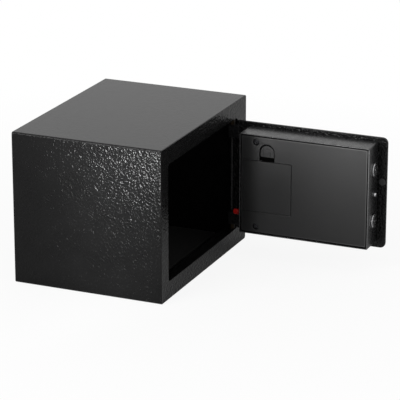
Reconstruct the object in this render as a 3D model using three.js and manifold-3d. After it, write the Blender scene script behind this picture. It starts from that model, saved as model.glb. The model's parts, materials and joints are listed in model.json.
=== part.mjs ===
import * as THREE from 'three';
import { mergeVertices } from 'three/addons/utils/BufferGeometryUtils.js';
import Module from 'manifold-3d';

const wasm = await Module();
wasm.setup();

// A small electronic steel safe with its door standing open, in millimetres, +Z up.
// The front faces -Y and the origin is the middle of the cabinet's underside.
// The door and all that it carries are described as they lie when it is shut:
// "along" runs from the hinge axis to the free edge, "depth" from the door's outer face inwards,
// and "rise" is a height above the door's middle.

// Fits shared by all pieces
const seatGap = 0.3;
const runningGap = 0.4;
const cutOverrun = 1;

// Cabinet
const cabinetWidth = 230;
const cabinetDepth = 172;
const cabinetHeight = 168;
const sheetThickness = 1.5;
const bendRadius = 2.5;
const lockSideBorder = 18.5;
const hingeSideBorder = 24.5;
const topBorder = 20;
const bottomBorder = 20;
const openingCornerRadius = 4;
const lockJambDepth = 34;
const hingeJambDepth = 6;
const levelJambDepth = 14;
const strikeGap = 1;
const anchorHoleDiameter = 10;
const anchorHoleSpacing = 120;
const matThickness = 2;
const matMargin = 3;
const matHoleDiameter = 14;

// Door plate and hinge
const doorOpenDegrees = 90;
const doorThickness = 3;
const doorEdgeGap = 1.5;
const hingeEdgeGap = 3;
const hingeAxisDepth = 4.5;
const hingeAxisSetback = 2.5;
const doorCornerRadius = 6;
const hingeNotchWidth = 8.5;
const hingeNotchHeight = 5;
const hingePinDiameter = 4;
const hingePinReach = 2;
const hingeBushDiameter = 7;
const hingeBushHeight = 5.4;
const hingeLugLength = 12;
const hingeLugThickness = 5;
const hingeLugHeight = 14;

// Door buffer and the stop bracket that it meets
const bufferDiameter = 8;
const bufferThickness = 0.7;
const bufferRise = 13;
const stopWidth = 7.5;
const stopHeight = 14;
const stopFlange = 15;

// Lock case on the back of the door
const caseHingeMargin = 20.5;
const caseFreeMargin = 10;
const caseTopMargin = 4.5;
const caseBottomMargin = 6.5;
const caseDepth = 30;
const caseSheet = 1.2;
const caseBendRadius = 1.5;
const caseFootWidth = 4;
const caseTabWidth = 10;
const caseTabMargin = 3.4;

// Rear cover and its two screws
const coverGap = 0.4;
const coverInset = 0.8;
const coverThickness = 2.2;
const coverCornerRadius = 2;
const coverSkirtDepth = 2.4;
const coverSkirtThickness = 1.6;
const mouldedWall = 1.2;
const coverScrewAlong = 39.7;
const coverScrewEdgeShare = 0.0641;
const coverScrewPocketDiameter = 7;
const coverScrewPocketDepth = 3.6;
const screwHeadDiameter = 5.6;
const screwHeadThickness = 1.8;
const screwShankDiameter = 3;
const screwShankLength = 5;
const screwSlotWidth = 1;
const screwSlotDepth = 0.7;

// Battery box, its cells and its door
const cellDiameter = 14;
const cellGap = 0.3;
const cellBodyLength = 48.6;
const cellNubDiameter = 5.5;
const cellNubLength = 1.2;
const cellCount = 4;
const cellRise = -0.75;
const contactThickness = 0.5;
const contactSpringDiameter = 7;
const contactSpringTip = 3.5;
const contactSpringLength = 3.25;
const contactMargin = 1;
const bayRim = 1.6;
const bayHeadroom = 1.2;
const latchOpeningHeightShare = 0.7;
const latchOpeningWidthShare = 0.892;
const latchPocketDepth = 5.3;
const latchTongueHeightShare = 0.93;
const latchTongueWidthShare = 0.86;
const latchTongueThickness = 1.2;
const latchSlotShare = 0.29;
const latchTabInset = 1.2;
const latchPadThickness = 0.6;
const latchPadShares = { across: 0.5, up: 0.12, tall: 0.4 };
const hookWidth = 8;
const hookSpacing = 28.7;
const hookReach = 1.8;
const hookThickness = 1.3;
const hookSweep = 4.6;

// Bolts, their guide and the case's end screw
const boltDiameter = 15;
const boltSetback = 13;
const boltSpacingShare = 0.5088;
const boltRise = 1;
const boltRestReach = 1.5;
const boltThrow = 18;
const boltChamfer = 1.2;
const boltHoleGap = 0.8;
const boltGuideThickness = 2.2;
const boltGuideMargin = 4.5;
const boltGuideDepth = 20;
const endScrewSetback = 9.8;
const endScrewDiameter = 4.6;

// Bolt carriage and its guide posts
const carriageThickness = 2;
const carriageSetback = 5.3;
const carriageLength = 41;
const carriageMargin = 7;
const carriageCornerRadius = 3;
const carriageFlangeReach = 15.5;
const carriageFlangeRise = 2;
const carriageTravelRoom = 6.3;
const guidePostDiameter = 6;
const guidePostHeadDiameter = 9;
const guidePostHeadThickness = 1.2;
const guidePostEdge = 8;
const guidePostInset = 12;
const slotGap = 0.6;

// Knob, spindle and crank
const knobRise = -4;
const knobTurnDegrees = 90;
const knobDiameter = 34;
const knobThickness = 18;
const knobSkirtThickness = 3;
const knobGripDiameter = 27;
const knobGripBar = 9;
const knobBoreDepth = 9;
const spindleDiameter = 8;
const crankSetback = 2.3;
const crankThickness = 2;
const crankPinDiameter = 5;
const crankPinReach = 0.6;
const crankSlotInset = 12;
const spindleBushDiameter = 13;
const spindleBushThickness = 1.6;

// Solenoid, its plunger and the latch tab that the plunger blocks
const latchTabHeight = 10.5;
const latchTabRise = 4.5;
const latchTabOverlap = 1.2;
const plungerDiameter = 7;
const plungerSetback = 17;
const plungerLatchGap = 1;
const plungerLift = 2.5;
const collarDiameter = 10;
const collarThickness = 1.2;
const collarInset = 4;
const springWire = 0.8;
const springDiameter = 9.2;
const springLength = 6.2;
const springTurns = 3;
const solenoidHeightShare = 0.74;
const solenoidWidth = 21;
const solenoidDepth = 15;
const solenoidPlate = 1.6;
const bracketSheet = 1.2;
const bracketFootShare = 0.652;
const bracketClearance = 3;

// Front panel and keypad
const panelMargin = 19;
const panelFreeMargin = 33;
const panelHeight = 74;
const panelRise = 1;
const panelThickness = 8;
const panelCornerRadius = 10;
const panelWall = 2;
const keyColumns = 3;
const keyRows = 4;
const keyPitchAlong = 15;
const keyPitchHeight = 13;
const keyWidth = 11;
const keyHeight = 9;
const keyCornerRadius = 2;
const keyProud = 1.5;
const keyTravel = 1;
const keyFlange = 1;
const keypadInset = 27;
const keypadRise = -2.5;
const domeWidth = 7.4;
const domeHeight = 6;
const domeWall = 1.1;
const matBorder = 2;
const lightDiameter = 3;
const lightPitch = 10;
const lightRise = 29.5;
const lightProud = 0.8;

// Emergency key lock
const lockSetback = 9.3;
const lockRise = -14;
const barrelDiameter = 15;
const barrelFlangeDiameter = 18;
const barrelFlangeThickness = 0.9;
const plugDiameter = 11;
const keySlotWidth = 1.8;
const keySlotHeight = 7;
const keySlotDepth = 8;
const nutAcrossFlats = 19;
const nutThickness = 4;
const camClearance = 1.2;
const camThickness = 1.6;
const camLength = 25;
const camWidth = 5;
const camHubDiameter = 10;
const camRestDegrees = -50;
const capDiameter = 20;
const capThickness = 1.8;
const capPivotDiameter = 3;
const capPivotRise = 12.5;
const capPivotReach = 3;

// Reset button on the hinge side of the lock case
const resetSetback = 21.5;
const resetCapDiameter = 6.2;
const resetCapLength = 6.8;
const resetStemDiameter = 3;
const resetTravel = 1.2;
const resetBushDiameter = 7.6;
const resetBushThickness = 1.4;
const switchLength = 10;
const switchHeightShare = 0.371;
const switchDepth = 9;
const switchStemShare = 0.47;

// Control board behind the battery box
const boardMargin = 5;
const boardHeightShare = 0.684;
const boardRise = -1;
const boardThickness = 1.5;
const boardPartHeight = 4;
const boardFootDiameter = 5;
const boardFootInset = 5;
const boardPartShares = [
  { across: 0.2, up: 0.75, wide: 0.22, tall: 0.16 },
  { across: 0.6, up: 0.7, wide: 0.3, tall: 0.22 },
  { across: 0.25, up: 0.3, wide: 0.3, tall: 0.12 },
  { across: 0.7, up: 0.25, wide: 0.18, tall: 0.18 },
];

// Round stretches
const smallSegments = 16;
const mediumSegments = 24;
const largeSegments = 40;
const cornerSegments = 3;
const arcSegments = 8;
const springStepsPerTurn = 8;
const springWireSegments = 3;
const nutSides = 6;

// Cabinet and door, worked out from the sizes above
const frontFace = -cabinetDepth / 2;
const backFace = cabinetDepth / 2;
const openingLeft = -cabinetWidth / 2 + lockSideBorder;
const openingRight = cabinetWidth / 2 - hingeSideBorder;
const openingTop = cabinetHeight - topBorder;
const openingBottom = bottomBorder;
const hingeAxisX = openingRight - hingeEdgeGap - hingeAxisSetback;
const hingeAxisY = frontFace + hingeAxisDepth;
const doorReach = hingeAxisX - openingLeft - doorEdgeGap;
const doorTop = openingTop - doorEdgeGap;
const doorBottom = openingBottom + doorEdgeGap;
const doorMiddle = (doorTop + doorBottom) / 2;
const innerSeat = doorThickness + seatGap;

// Lock case and rear cover
const caseStart = caseHingeMargin;
const caseEnd = doorReach - caseFreeMargin;
const caseTop = doorTop - caseTopMargin;
const caseBottom = doorBottom + caseBottomMargin;
const caseRear = doorThickness + caseDepth;
const coverRear = caseRear - coverInset;
const coverFront = coverRear - coverThickness;
const coverStart = caseStart + caseSheet + coverGap;
const coverEnd = caseEnd - caseSheet - coverGap;
const coverTop = caseTop - caseSheet - coverGap;
const coverBottom = caseBottom + caseSheet + coverGap;
const coverScrewFloor = coverRear - coverScrewPocketDepth;
const coverScrewEdge = (coverTop - coverBottom) * coverScrewEdgeShare;
const coverScrewHeights = [coverTop - coverScrewEdge, coverBottom + coverScrewEdge];

// Battery bay
const cellPitch = cellDiameter + cellGap;
const cellLength = cellBodyLength + cellNubLength;
const bayStart = coverStart + bayRim;
const bayEnd = bayStart + cellPitch * cellCount + cellGap;
const bayAlong = (bayStart + bayEnd) / 2;
const bayRoom = contactThickness + contactSpringLength + seatGap * 2;
const bayBottom = doorMiddle + cellRise - cellLength / 2 - bayRoom;
const bayTop = doorMiddle + cellRise + cellLength / 2 + bayRoom;
const cellDepth = coverFront - coverGap - bayHeadroom - cellDiameter / 2;
const bayFloor = cellDepth - cellDiameter / 2 - cellGap;
const latchAlong = bayAlong;
const latchOpeningHeight = (coverTop - bayTop) * latchOpeningHeightShare;
const latchOpeningWidth = latchOpeningHeight * latchOpeningWidthShare;
const latchTongueHeight = latchOpeningHeight * latchTongueHeightShare;
const latchTongueWidth = latchTongueHeight * latchTongueWidthShare;

// Bolt work
const boltDepth = doorThickness + boltSetback;
const boltSpacing = (caseTop - caseBottom) * boltSpacingShare;
const boltHeights = [doorMiddle + boltRise + boltSpacing / 2, doorMiddle + boltRise - boltSpacing / 2];
const boltGuideFar = caseEnd - caseSheet - seatGap;
const boltGuideHeight = boltSpacing + boltDiameter + boltGuideMargin * 2;
const carriageEnd = boltGuideFar - boltGuideThickness - carriageTravelRoom - boltThrow;
const carriageStart = carriageEnd - carriageLength;
const carriageFront = doorThickness + carriageSetback;
const carriageBack = carriageFront + carriageThickness;
const carriageTop = doorMiddle + boltSpacing / 2 + carriageMargin;
const carriageBottom = doorMiddle - boltSpacing / 2 - carriageMargin;
const guidePostAlong = carriageEnd - guidePostInset;
const guidePostHeights = [carriageTop - guidePostEdge, carriageBottom + guidePostEdge];
const knobHeight = doorMiddle + knobRise;
const knobAlong = carriageStart + crankSlotInset + boltThrow / 2;
const knobHalfTurn = THREE.MathUtils.degToRad(knobTurnDegrees / 2);
const crankRadius = boltThrow / 2 / Math.sin(knobHalfTurn);
const crankRise = crankRadius * Math.cos(knobHalfTurn);
const crankFront = doorThickness + crankSetback;

// Solenoid
const plungerDepth = doorThickness + plungerSetback;
const latchTabTop = doorMiddle + latchTabRise;
const latchTabEnd = plungerDepth + latchTabOverlap;
const plungerAlong = carriageStart + boltThrow - plungerLatchGap - plungerDiameter / 2;
const plungerTip = latchTabTop + plungerLift;
const collarFoot = plungerTip + collarInset;
const springFoot = collarFoot + collarThickness + seatGap;
const solenoidFoot = springFoot + springLength + seatGap;
const solenoidHeight = (caseTop - caseSheet - solenoidFoot) * solenoidHeightShare;

// Front panel and emergency lock
const panelFront = -panelThickness;
const panelBack = -seatGap;
const webBack = panelFront + panelWall;
const panelMiddle = doorMiddle + panelRise;
const panelEnd = doorReach - panelFreeMargin;
const keypadAlong = panelMargin + keypadInset;
const keypadHeight = doorMiddle + keypadRise;
const keyFlangeFront = webBack + seatGap;
const keyFlangeBack = keyFlangeFront + keyFlange;
const lightHeight = doorMiddle + lightRise;
const lockAlong = carriageStart - lockSetback;
const lockHeight = doorMiddle + lockRise;
const barrelFront = panelFront - seatGap - barrelFlangeThickness;
const barrelRear = latchTabEnd + camClearance;
const camFront = barrelRear + seatGap * 2;

// Reset button
const switchTop = bayBottom - mouldedWall - seatGap;
const switchAlong = bayStart + seatGap;
const switchHeight = (switchTop - coverBottom) * switchHeightShare;
const resetHeight = switchTop - switchHeight * switchStemShare;
const resetDepth = doorThickness + resetSetback;
const boardHeight = (caseTop - caseBottom) * boardHeightShare;

// Materials, coloured as the photograph shows them
function finish(color, roughness, metalness) {
  return new THREE.MeshStandardMaterial({ color, roughness, metalness });
}
const hammeredPaint = () => finish(0x1b1b1c, 0.45, 0.2);
const satinPaint = () => finish(0x242425, 0.4, 0.2);
const blackPlastic = () => finish(0x1d1d1e, 0.45, 0);
const zincSteel = () => finish(0xa8abad, 0.35, 0.9);
const chrome = () => finish(0xd8dadc, 0.15, 1);
const brass = () => finish(0xb8964f, 0.3, 0.9);
const rubber = () => finish(0x19191a, 0.8, 0);
const silverPlastic = () => finish(0x9da0a2, 0.35, 0.3);
const redPlastic = () => finish(0xb01212, 0.35, 0);
const palePlastic = () => finish(0xd9d8cf, 0.5, 0);
const circuitBoard = () => finish(0x2d5f3c, 0.5, 0.1);
const cellJacket = () => finish(0x4b4f55, 0.35, 0.3);
const lightPipe = () => finish(0xcfd6d2, 0.2, 0);

// Closed mesh to solid and back
function toSolid(geometry) {
  const bare = new THREE.BufferGeometry();
  bare.setAttribute('position', geometry.getAttribute('position').clone());
  if (geometry.index) bare.setIndex(geometry.index.clone());
  const welded = mergeVertices(bare);
  const corners = [];
  for (let i = 0; i < welded.index.count; i += 3) {
    const [a, b, c] = [0, 1, 2].map((k) => welded.index.getX(i + k));
    if (a !== b && b !== c && c !== a) corners.push(a, b, c);
  }
  const vertProperties = new Float32Array(welded.getAttribute('position').array);
  const triVerts = new Uint32Array(corners);
  return new wasm.Manifold(new wasm.Mesh({ numProp: 3, vertProperties, triVerts }));
}

function toGeometry(body) {
  const mesh = body.getMesh();
  const geometry = new THREE.BufferGeometry();
  geometry.setAttribute('position', new THREE.BufferAttribute(new Float32Array(mesh.vertProperties), 3));
  geometry.setIndex(new THREE.BufferAttribute(new Uint32Array(mesh.triVerts), 1));
  geometry.computeVertexNormals();
  return geometry;
}

const unite = (first, ...others) => others.reduce((sum, next) => sum.add(next), first);
const cut = (first, ...tools) => tools.reduce((rest, tool) => rest.subtract(tool), first);

// Limits of a stretch: about a middle, from a start, and widened by the overrun of a cutting tool
const about = (middle, size) => [middle - size / 2, middle + size / 2];
const startingAt = (start, size) => [start, start + size];
const overrun = ([low, high]) => [low - cutOverrun, high + cutOverrun];
const minus = ([low, high]) => [-high, -low];

// A box between its limits
function block([x0, x1], [y0, y1], [z0, z1]) {
  const geometry = new THREE.BoxGeometry(x1 - x0, y1 - y0, z1 - z0);
  geometry.translate((x0 + x1) / 2, (y0 + y1) / 2, (z0 + z1) / 2);
  return toSolid(geometry);
}

// Sections are drawn in (y, z) for axis x, in (minus x, z) for axis y, and in (x, y) for axis z
const axisFrames = {
  x: [[0, 1, 0], [0, 0, 1], [1, 0, 0]],
  y: [[-1, 0, 0], [0, 0, 1], [0, 1, 0]],
  z: [[1, 0, 0], [0, 1, 0], [0, 0, 1]],
};

function layAlong(axis, geometry) {
  const directions = axisFrames[axis].map((direction) => new THREE.Vector3(...direction));
  return toSolid(geometry.applyMatrix4(new THREE.Matrix4().makeBasis(...directions)));
}

function extrude(axis, shape, [from, to], curveSegments = cornerSegments) {
  const geometry = new THREE.ExtrudeGeometry(shape, { depth: to - from, bevelEnabled: false, curveSegments });
  return layAlong(axis, geometry.translate(0, 0, from));
}

// A turned solid: stations are [distance along the axis, radius]
function turn(axis, stations, segments = smallSegments) {
  const closed = [[stations[0][0], 0], ...stations, [stations.at(-1)[0], 0]];
  const profile = closed.map(([far, radius]) => new THREE.Vector2(radius, far));
  const geometry = new THREE.LatheGeometry(profile, segments);
  return layAlong(axis, geometry.rotateX(Math.PI / 2));
}

function rod(axis, diameter, [from, to], segments = smallSegments) {
  return turn(axis, [[from, diameter / 2], [to, diameter / 2]], segments);
}

// A round cutting tool through a wall, longer than the wall at both ends
function drill(axis, diameter, wall, place, segments = smallSegments) {
  return rod(axis, diameter, overrun(wall), segments).translate(place);
}

// Outlines
function rectangle([a0, a1], [b0, b1], radius = 0) {
  const shape = new THREE.Shape();
  if (radius === 0) {
    const corners = [[a0, b0], [a1, b0], [a1, b1], [a0, b1]];
    return shape.setFromPoints(corners.map(([a, b]) => new THREE.Vector2(a, b)));
  }
  shape.moveTo(a0 + radius, b0);
  shape.lineTo(a1 - radius, b0);
  shape.absarc(a1 - radius, b0 + radius, radius, -Math.PI / 2, 0);
  shape.lineTo(a1, b1 - radius);
  shape.absarc(a1 - radius, b1 - radius, radius, 0, Math.PI / 2);
  shape.lineTo(a0 + radius, b1);
  shape.absarc(a0 + radius, b1 - radius, radius, Math.PI / 2, Math.PI);
  shape.lineTo(a0, b0 + radius);
  shape.absarc(a0 + radius, b0 + radius, radius, Math.PI, Math.PI * 3 / 2);
  return shape;
}

function ring(outer, inner) {
  outer.holes.push(inner);
  return outer;
}

// Round-ended slot, lying along the section's first direction
function slot([from, to], height, diameter) {
  const radius = diameter / 2;
  const shape = new THREE.Shape();
  shape.moveTo(from, height - radius);
  shape.lineTo(to, height - radius);
  shape.absarc(to, height, radius, -Math.PI / 2, Math.PI / 2);
  shape.lineTo(from, height + radius);
  shape.absarc(from, height, radius, Math.PI / 2, Math.PI * 3 / 2);
  return shape;
}

function uprightSlot(along, [from, to], diameter) {
  const radius = diameter / 2;
  const shape = new THREE.Shape();
  shape.moveTo(along + radius, from);
  shape.lineTo(along + radius, to);
  shape.absarc(along, to, radius, 0, Math.PI);
  shape.lineTo(along - radius, from);
  shape.absarc(along, from, radius, Math.PI, Math.PI * 2);
  return shape;
}

// Round-topped outline with a straight foot
function arch(along, bottom, height, width) {
  const radius = width / 2;
  const spring = bottom + height - radius;
  const shape = new THREE.Shape();
  shape.moveTo(along - radius, bottom);
  shape.lineTo(along + radius, bottom);
  shape.lineTo(along + radius, spring);
  shape.absarc(along, spring, radius, 0, Math.PI);
  return shape;
}

function addPiece(parent, name, body, material, [x, y, z] = [0, 0, 0]) {
  const mesh = new THREE.Mesh(toGeometry(body), material);
  mesh.name = name;
  mesh.position.set(x, y, z);
  parent.add(mesh);
}

// Cabinet shell: wrapper, front border and the jamb returned round the door opening
function makeCabinetShell() {
  const halfWidth = cabinetWidth / 2;
  const outline = (inset) => rectangle(
    [-halfWidth + inset, halfWidth - inset],
    [inset, cabinetHeight - inset],
    Math.max(bendRadius - inset, 0),
  );
  const opening = (offset) => rectangle(
    [-openingRight - offset, -openingLeft + offset],
    [openingBottom - offset, openingTop + offset],
    openingCornerRadius + offset,
  );
  const wrapper = extrude('y', ring(outline(0), outline(sheetThickness)), [frontFace, backFace]);
  const border = extrude('y', ring(outline(0), opening(0)), startingAt(frontFace, sheetThickness));
  const jamb = extrude('y', ring(opening(sheetThickness), opening(0)), startingAt(frontFace, lockJambDepth));
  const jambRear = frontFace + lockJambDepth + cutOverrun;
  const levelTrim = block(
    [openingLeft + openingCornerRadius, halfWidth],
    [frontFace + levelJambDepth, jambRear],
    [0, cabinetHeight],
  );
  const hingeTrim = block(
    [openingRight - openingCornerRadius, halfWidth],
    [frontFace + hingeJambDepth, jambRear],
    [openingBottom + openingCornerRadius, openingTop - openingCornerRadius],
  );
  const shell = unite(wrapper, border, cut(jamb, levelTrim, hingeTrim));
  return cut(shell, ...makeStrikeTools(), ...makeFloorAnchorTools(), makeHingePinTool());
}

// The bolts enter square windows in the lock side jamb
function makeStrikeTools() {
  const size = boltDiameter + strikeGap * 2;
  const wall = overrun([openingLeft - sheetThickness, openingLeft]);
  return boltHeights.map((height) => block(wall, about(frontFace + boltDepth, size), about(height, size)));
}

function makeFloorAnchorTools() {
  const places = about(0, anchorHoleSpacing);
  return places.map((x) => drill('z', anchorHoleDiameter, [0, sheetThickness], [x, 0, 0]));
}

function makeHingePinTool() {
  const wall = [openingBottom - sheetThickness, openingTop + sheetThickness];
  return drill('z', hingePinDiameter + runningGap * 2, wall, [hingeAxisX, hingeAxisY, 0]);
}

function makeBackPanel() {
  const inset = sheetThickness + seatGap;
  const width = cabinetWidth - inset * 2;
  const wall = [backFace - sheetThickness, backFace];
  const plate = extrude('y', rectangle(about(0, width), [inset, cabinetHeight - inset], bendRadius), wall);
  const places = about(0, anchorHoleSpacing);
  return cut(plate, ...places.map((x) => drill('y', anchorHoleDiameter, wall, [x, 0, cabinetHeight / 2])));
}

function makeFloorMat() {
  const inset = sheetThickness + matMargin;
  const lengthwise = [frontFace + lockJambDepth, backFace - inset];
  const wall = startingAt(sheetThickness, matThickness);
  const sheet = extrude('z', rectangle(about(0, cabinetWidth - inset * 2), lengthwise, matMargin), wall);
  const places = about(0, anchorHoleSpacing);
  return cut(sheet, ...places.map((x) => drill('z', matHoleDiameter, wall, [x, 0, 0])));
}

// Angle bracket welded to the lock side jamb; the shut door's buffer meets its front flange
function makeDoorStop() {
  const face = frontFace + innerSeat + bufferThickness + seatGap;
  const heights = about(doorMiddle + bufferRise, stopHeight);
  const flange = block(startingAt(openingLeft, stopWidth), startingAt(face, sheetThickness), heights);
  const foot = block(startingAt(openingLeft, sheetThickness), startingAt(face, stopFlange), heights);
  return unite(flange, foot);
}

function makeHingeBush() {
  const wall = [0, hingeBushHeight];
  const bore = drill('z', hingePinDiameter + runningGap * 2, wall, [0, 0, 0]);
  return cut(rod('z', hingeBushDiameter, wall), bore);
}

// Door plate with rounded free corners and notched hinge corners
function makeDoorPlate() {
  const hingeEdge = -hingeAxisSetback;
  const notchEdge = hingeEdge + hingeNotchWidth;
  const radius = doorCornerRadius;
  const section = new THREE.Shape();
  section.moveTo(notchEdge, doorBottom);
  section.lineTo(doorReach - radius, doorBottom);
  section.absarc(doorReach - radius, doorBottom + radius, radius, -Math.PI / 2, 0);
  section.lineTo(doorReach, doorTop - radius);
  section.absarc(doorReach - radius, doorTop - radius, radius, 0, Math.PI / 2);
  section.lineTo(notchEdge, doorTop);
  section.lineTo(notchEdge, doorTop - hingeNotchHeight);
  section.lineTo(hingeEdge, doorTop - hingeNotchHeight);
  section.lineTo(hingeEdge, doorBottom + hingeNotchHeight);
  section.lineTo(notchEdge, doorBottom + hingeNotchHeight);
  const wall = [0, doorThickness];
  const spindleHole = drill('y', spindleDiameter + runningGap * 2, wall, [-knobAlong, 0, knobHeight]);
  const lockPlace = [-lockAlong, 0, lockHeight];
  const barrelHole = drill('y', barrelDiameter + runningGap * 2, wall, lockPlace, mediumSegments);
  return cut(extrude('y', section, wall), spindleHole, barrelHole);
}

// Upper hinge lug with the pin that stands on it; the lower one is its mirror image
function makeHingeLug() {
  const root = doorTop - hingeNotchHeight;
  const tip = openingTop + sheetThickness + hingePinReach;
  const across = [hingeAxisSetback - hingeLugLength, hingeAxisSetback];
  const lug = block(across, startingAt(innerSeat, hingeLugThickness), [root - hingeLugHeight, root]);
  const foot = root - hingeLugHeight;
  const pin = rod('z', hingePinDiameter, [foot, tip]).translate([0, hingeAxisDepth, 0]);
  const plateRoom = block(overrun(about(0, hingePinDiameter)), [0, innerSeat], [foot - cutOverrun, root]);
  return unite(lug, cut(pin, plateRoom));
}

function makeLowerHingeLug() {
  return makeHingeLug().translate([0, 0, -doorMiddle]).mirror([0, 0, 1]).translate([0, 0, doorMiddle]);
}

// Lock case: four walls, a foot turned in along the door, and two tabs for the cover's screws
function makeLockCase() {
  const outline = (inset, radius) => rectangle(
    [caseStart + inset, caseEnd - inset],
    [caseBottom + inset, caseTop - inset],
    radius,
  );
  const outer = () => outline(0, caseBendRadius);
  const walls = extrude('y', ring(outer(), outline(caseSheet, coverGap)), [innerSeat, caseRear]);
  const footInner = outline(caseSheet + caseFootWidth, coverGap);
  const foot = extrude('y', ring(outer(), footInner), startingAt(innerSeat, caseSheet));
  return cut(unite(walls, foot, ...makeCaseTabs()), ...makeCaseTools());
}

const caseTabRear = coverScrewFloor - mouldedWall - seatGap;

function makeCaseTabs() {
  const along = minus(about(coverScrewAlong, caseTabWidth));
  const depths = [caseTabRear - caseSheet, caseTabRear];
  const [upperScrew, lowerScrew] = coverScrewHeights;
  return [
    block(along, depths, [upperScrew - caseTabMargin, caseTop - caseSheet / 2]),
    block(along, depths, [caseBottom + caseSheet / 2, lowerScrew + caseTabMargin]),
  ];
}

function makeCaseTools() {
  const endWall = [-caseEnd, -caseEnd + caseSheet];
  const hingeWall = [-caseStart - caseSheet, -caseStart];
  const tabWall = [caseTabRear - caseSheet, caseTabRear];
  const shankHole = screwShankDiameter + runningGap * 2;
  const boltHole = boltDiameter + boltHoleGap * 2;
  return [
    ...coverScrewHeights.map((height) => drill('y', shankHole, tabWall, [-coverScrewAlong, 0, height])),
    ...boltHeights.map((height) => drill('x', boltHole, endWall, [0, boltDepth, height], mediumSegments)),
    drill('x', shankHole, endWall, endScrewPlace),
    drill('x', resetStemDiameter + runningGap * 2, hingeWall, [0, resetDepth, resetHeight]),
  ];
}

const endScrewPlace = [0, doorThickness + endScrewSetback, doorMiddle + boltRise];

// Rear cover: plate and skirt with the battery box, latch recess and screw pockets moulded in
function makeRearCover() {
  const outline = (inset, radius) => rectangle(
    [coverStart + inset, coverEnd - inset],
    [coverBottom + inset, coverTop - inset],
    radius,
  );
  const outer = () => outline(0, coverCornerRadius);
  const intoPlate = coverFront + coverThickness / 2;
  const plate = extrude('y', outer(), [coverFront, coverRear]);
  const skirt = extrude('y', ring(outer(), outline(coverSkirtThickness, coverGap)),
    [coverFront - coverSkirtDepth, intoPlate]);
  const bay = (offset) => rectangle(
    [bayStart - offset, bayEnd + offset],
    [bayBottom - offset, bayTop + offset],
  );
  const box = extrude('y', bay(mouldedWall), [bayFloor - mouldedWall, intoPlate]);
  const latchFloor = coverRear - latchPocketDepth;
  const pocketWidth = latchOpeningWidth + mouldedWall * 2;
  const pocketHeight = latchOpeningHeight + mouldedWall;
  const pocket = extrude('y', arch(latchAlong, bayTop, pocketHeight, pocketWidth),
    [latchFloor - mouldedWall, intoPlate], arcSegments);
  const cups = coverScrewHeights.map((height) => rod('y', coverScrewPocketDiameter + mouldedWall * 2,
    [coverScrewFloor - mouldedWall, intoPlate]).translate([-coverScrewAlong, 0, height]));
  const skin = unite(plate, skirt, box, pocket, ...cups);
  return cut(skin, ...makeCoverTools(bay(0), latchFloor));
}

function makeCoverTools(bayOutline, latchFloor) {
  const proud = coverRear + cutOverrun;
  const latchFoot = bayTop - mouldedWall - cutOverrun;
  const latchRoom = arch(latchAlong, latchFoot, bayTop - latchFoot + latchOpeningHeight, latchOpeningWidth);
  const pockets = coverScrewHeights.map((height) =>
    rod('y', coverScrewPocketDiameter, [coverScrewFloor, proud]).translate([-coverScrewAlong, 0, height]));
  const shankHole = screwShankDiameter + runningGap * 2;
  const shankWall = [coverScrewFloor - mouldedWall, coverScrewFloor];
  const shankHoles = coverScrewHeights.map((height) =>
    drill('y', shankHole, shankWall, [-coverScrewAlong, 0, height]));
  const hookSlots = hookPlaces.map((along) => block(
    minus(about(along, hookWidth + runningGap * 2)),
    [coverRear - hookSweep, coverFront],
    overrun([bayBottom - mouldedWall, bayBottom]),
  ));
  return [
    extrude('y', bayOutline, [bayFloor, proud]),
    extrude('y', latchRoom, [latchFloor, proud], arcSegments),
    ...pockets,
    ...shankHoles,
    ...hookSlots,
  ];
}

const hookPlaces = about(bayAlong, hookSpacing);

// Battery door: flush plate with a spring latch tongue at the top and two hooks at the bottom
function makeBatteryDoor() {
  const foot = bayBottom + coverGap;
  const head = bayTop - coverGap;
  const outline = rectangle([bayStart + coverGap, bayEnd - coverGap], [foot, head]);
  const plate = extrude('y', outline, [coverFront, coverRear]);
  return unite(plate, ...makeLatchTongue(head), ...hookPlaces.map((along) => makeHook(along, foot)));
}

// The tongue runs deep in the recess, then steps out to the tab and its raised pad, which a finger presses
function makeLatchTongue(head) {
  const front = coverRear - latchPocketDepth + seatGap * 2;
  const tabRear = coverRear - latchTabInset;
  const root = head - mouldedWall;
  const step = startingAt(head + latchTongueHeight * latchSlotShare, mouldedWall);
  const tabHeight = latchTongueHeight * (1 - latchSlotShare);
  const across = minus(about(latchAlong, latchTongueWidth));
  const neck = block(across, [front, coverFront + coverThickness / 2], [root, head]);
  const leaf = block(across, startingAt(front, latchTongueThickness), [root, step[1]]);
  const riser = block(across, [front, tabRear], step);
  const tab = extrude('y', arch(latchAlong, step[0], tabHeight, latchTongueWidth),
    [tabRear - latchTongueThickness, tabRear], arcSegments);
  const pad = block(
    minus(about(latchAlong, latchTongueWidth * latchPadShares.across)),
    [tabRear - latchTongueThickness / 2, tabRear + latchPadThickness],
    startingAt(step[0] + tabHeight * latchPadShares.up, tabHeight * latchPadShares.tall),
  );
  return [neck, leaf, riser, tab, pad];
}

function makeHook(along, foot) {
  const across = minus(about(along, hookWidth));
  const back = coverFront - seatGap;
  const front = back - hookThickness;
  const tip = block(across, [front, back], [foot - hookReach, foot + mouldedWall]);
  const root = block(across, [front, coverFront + mouldedWall], startingAt(foot, mouldedWall));
  return unite(tip, root);
}

// Cell standing on its flat end, with the nub on top
function makeCell() {
  const body = rod('z', cellDiameter, [0, cellBodyLength], mediumSegments);
  return unite(body, rod('z', cellNubDiameter, [cellBodyLength - cellNubLength, cellLength]));
}

const firstCell = bayAlong - cellPitch * (cellCount - 1) / 2;
const cellPlaces = Array.from({ length: cellCount }, (_, index) => firstCell + index * cellPitch);

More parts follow.
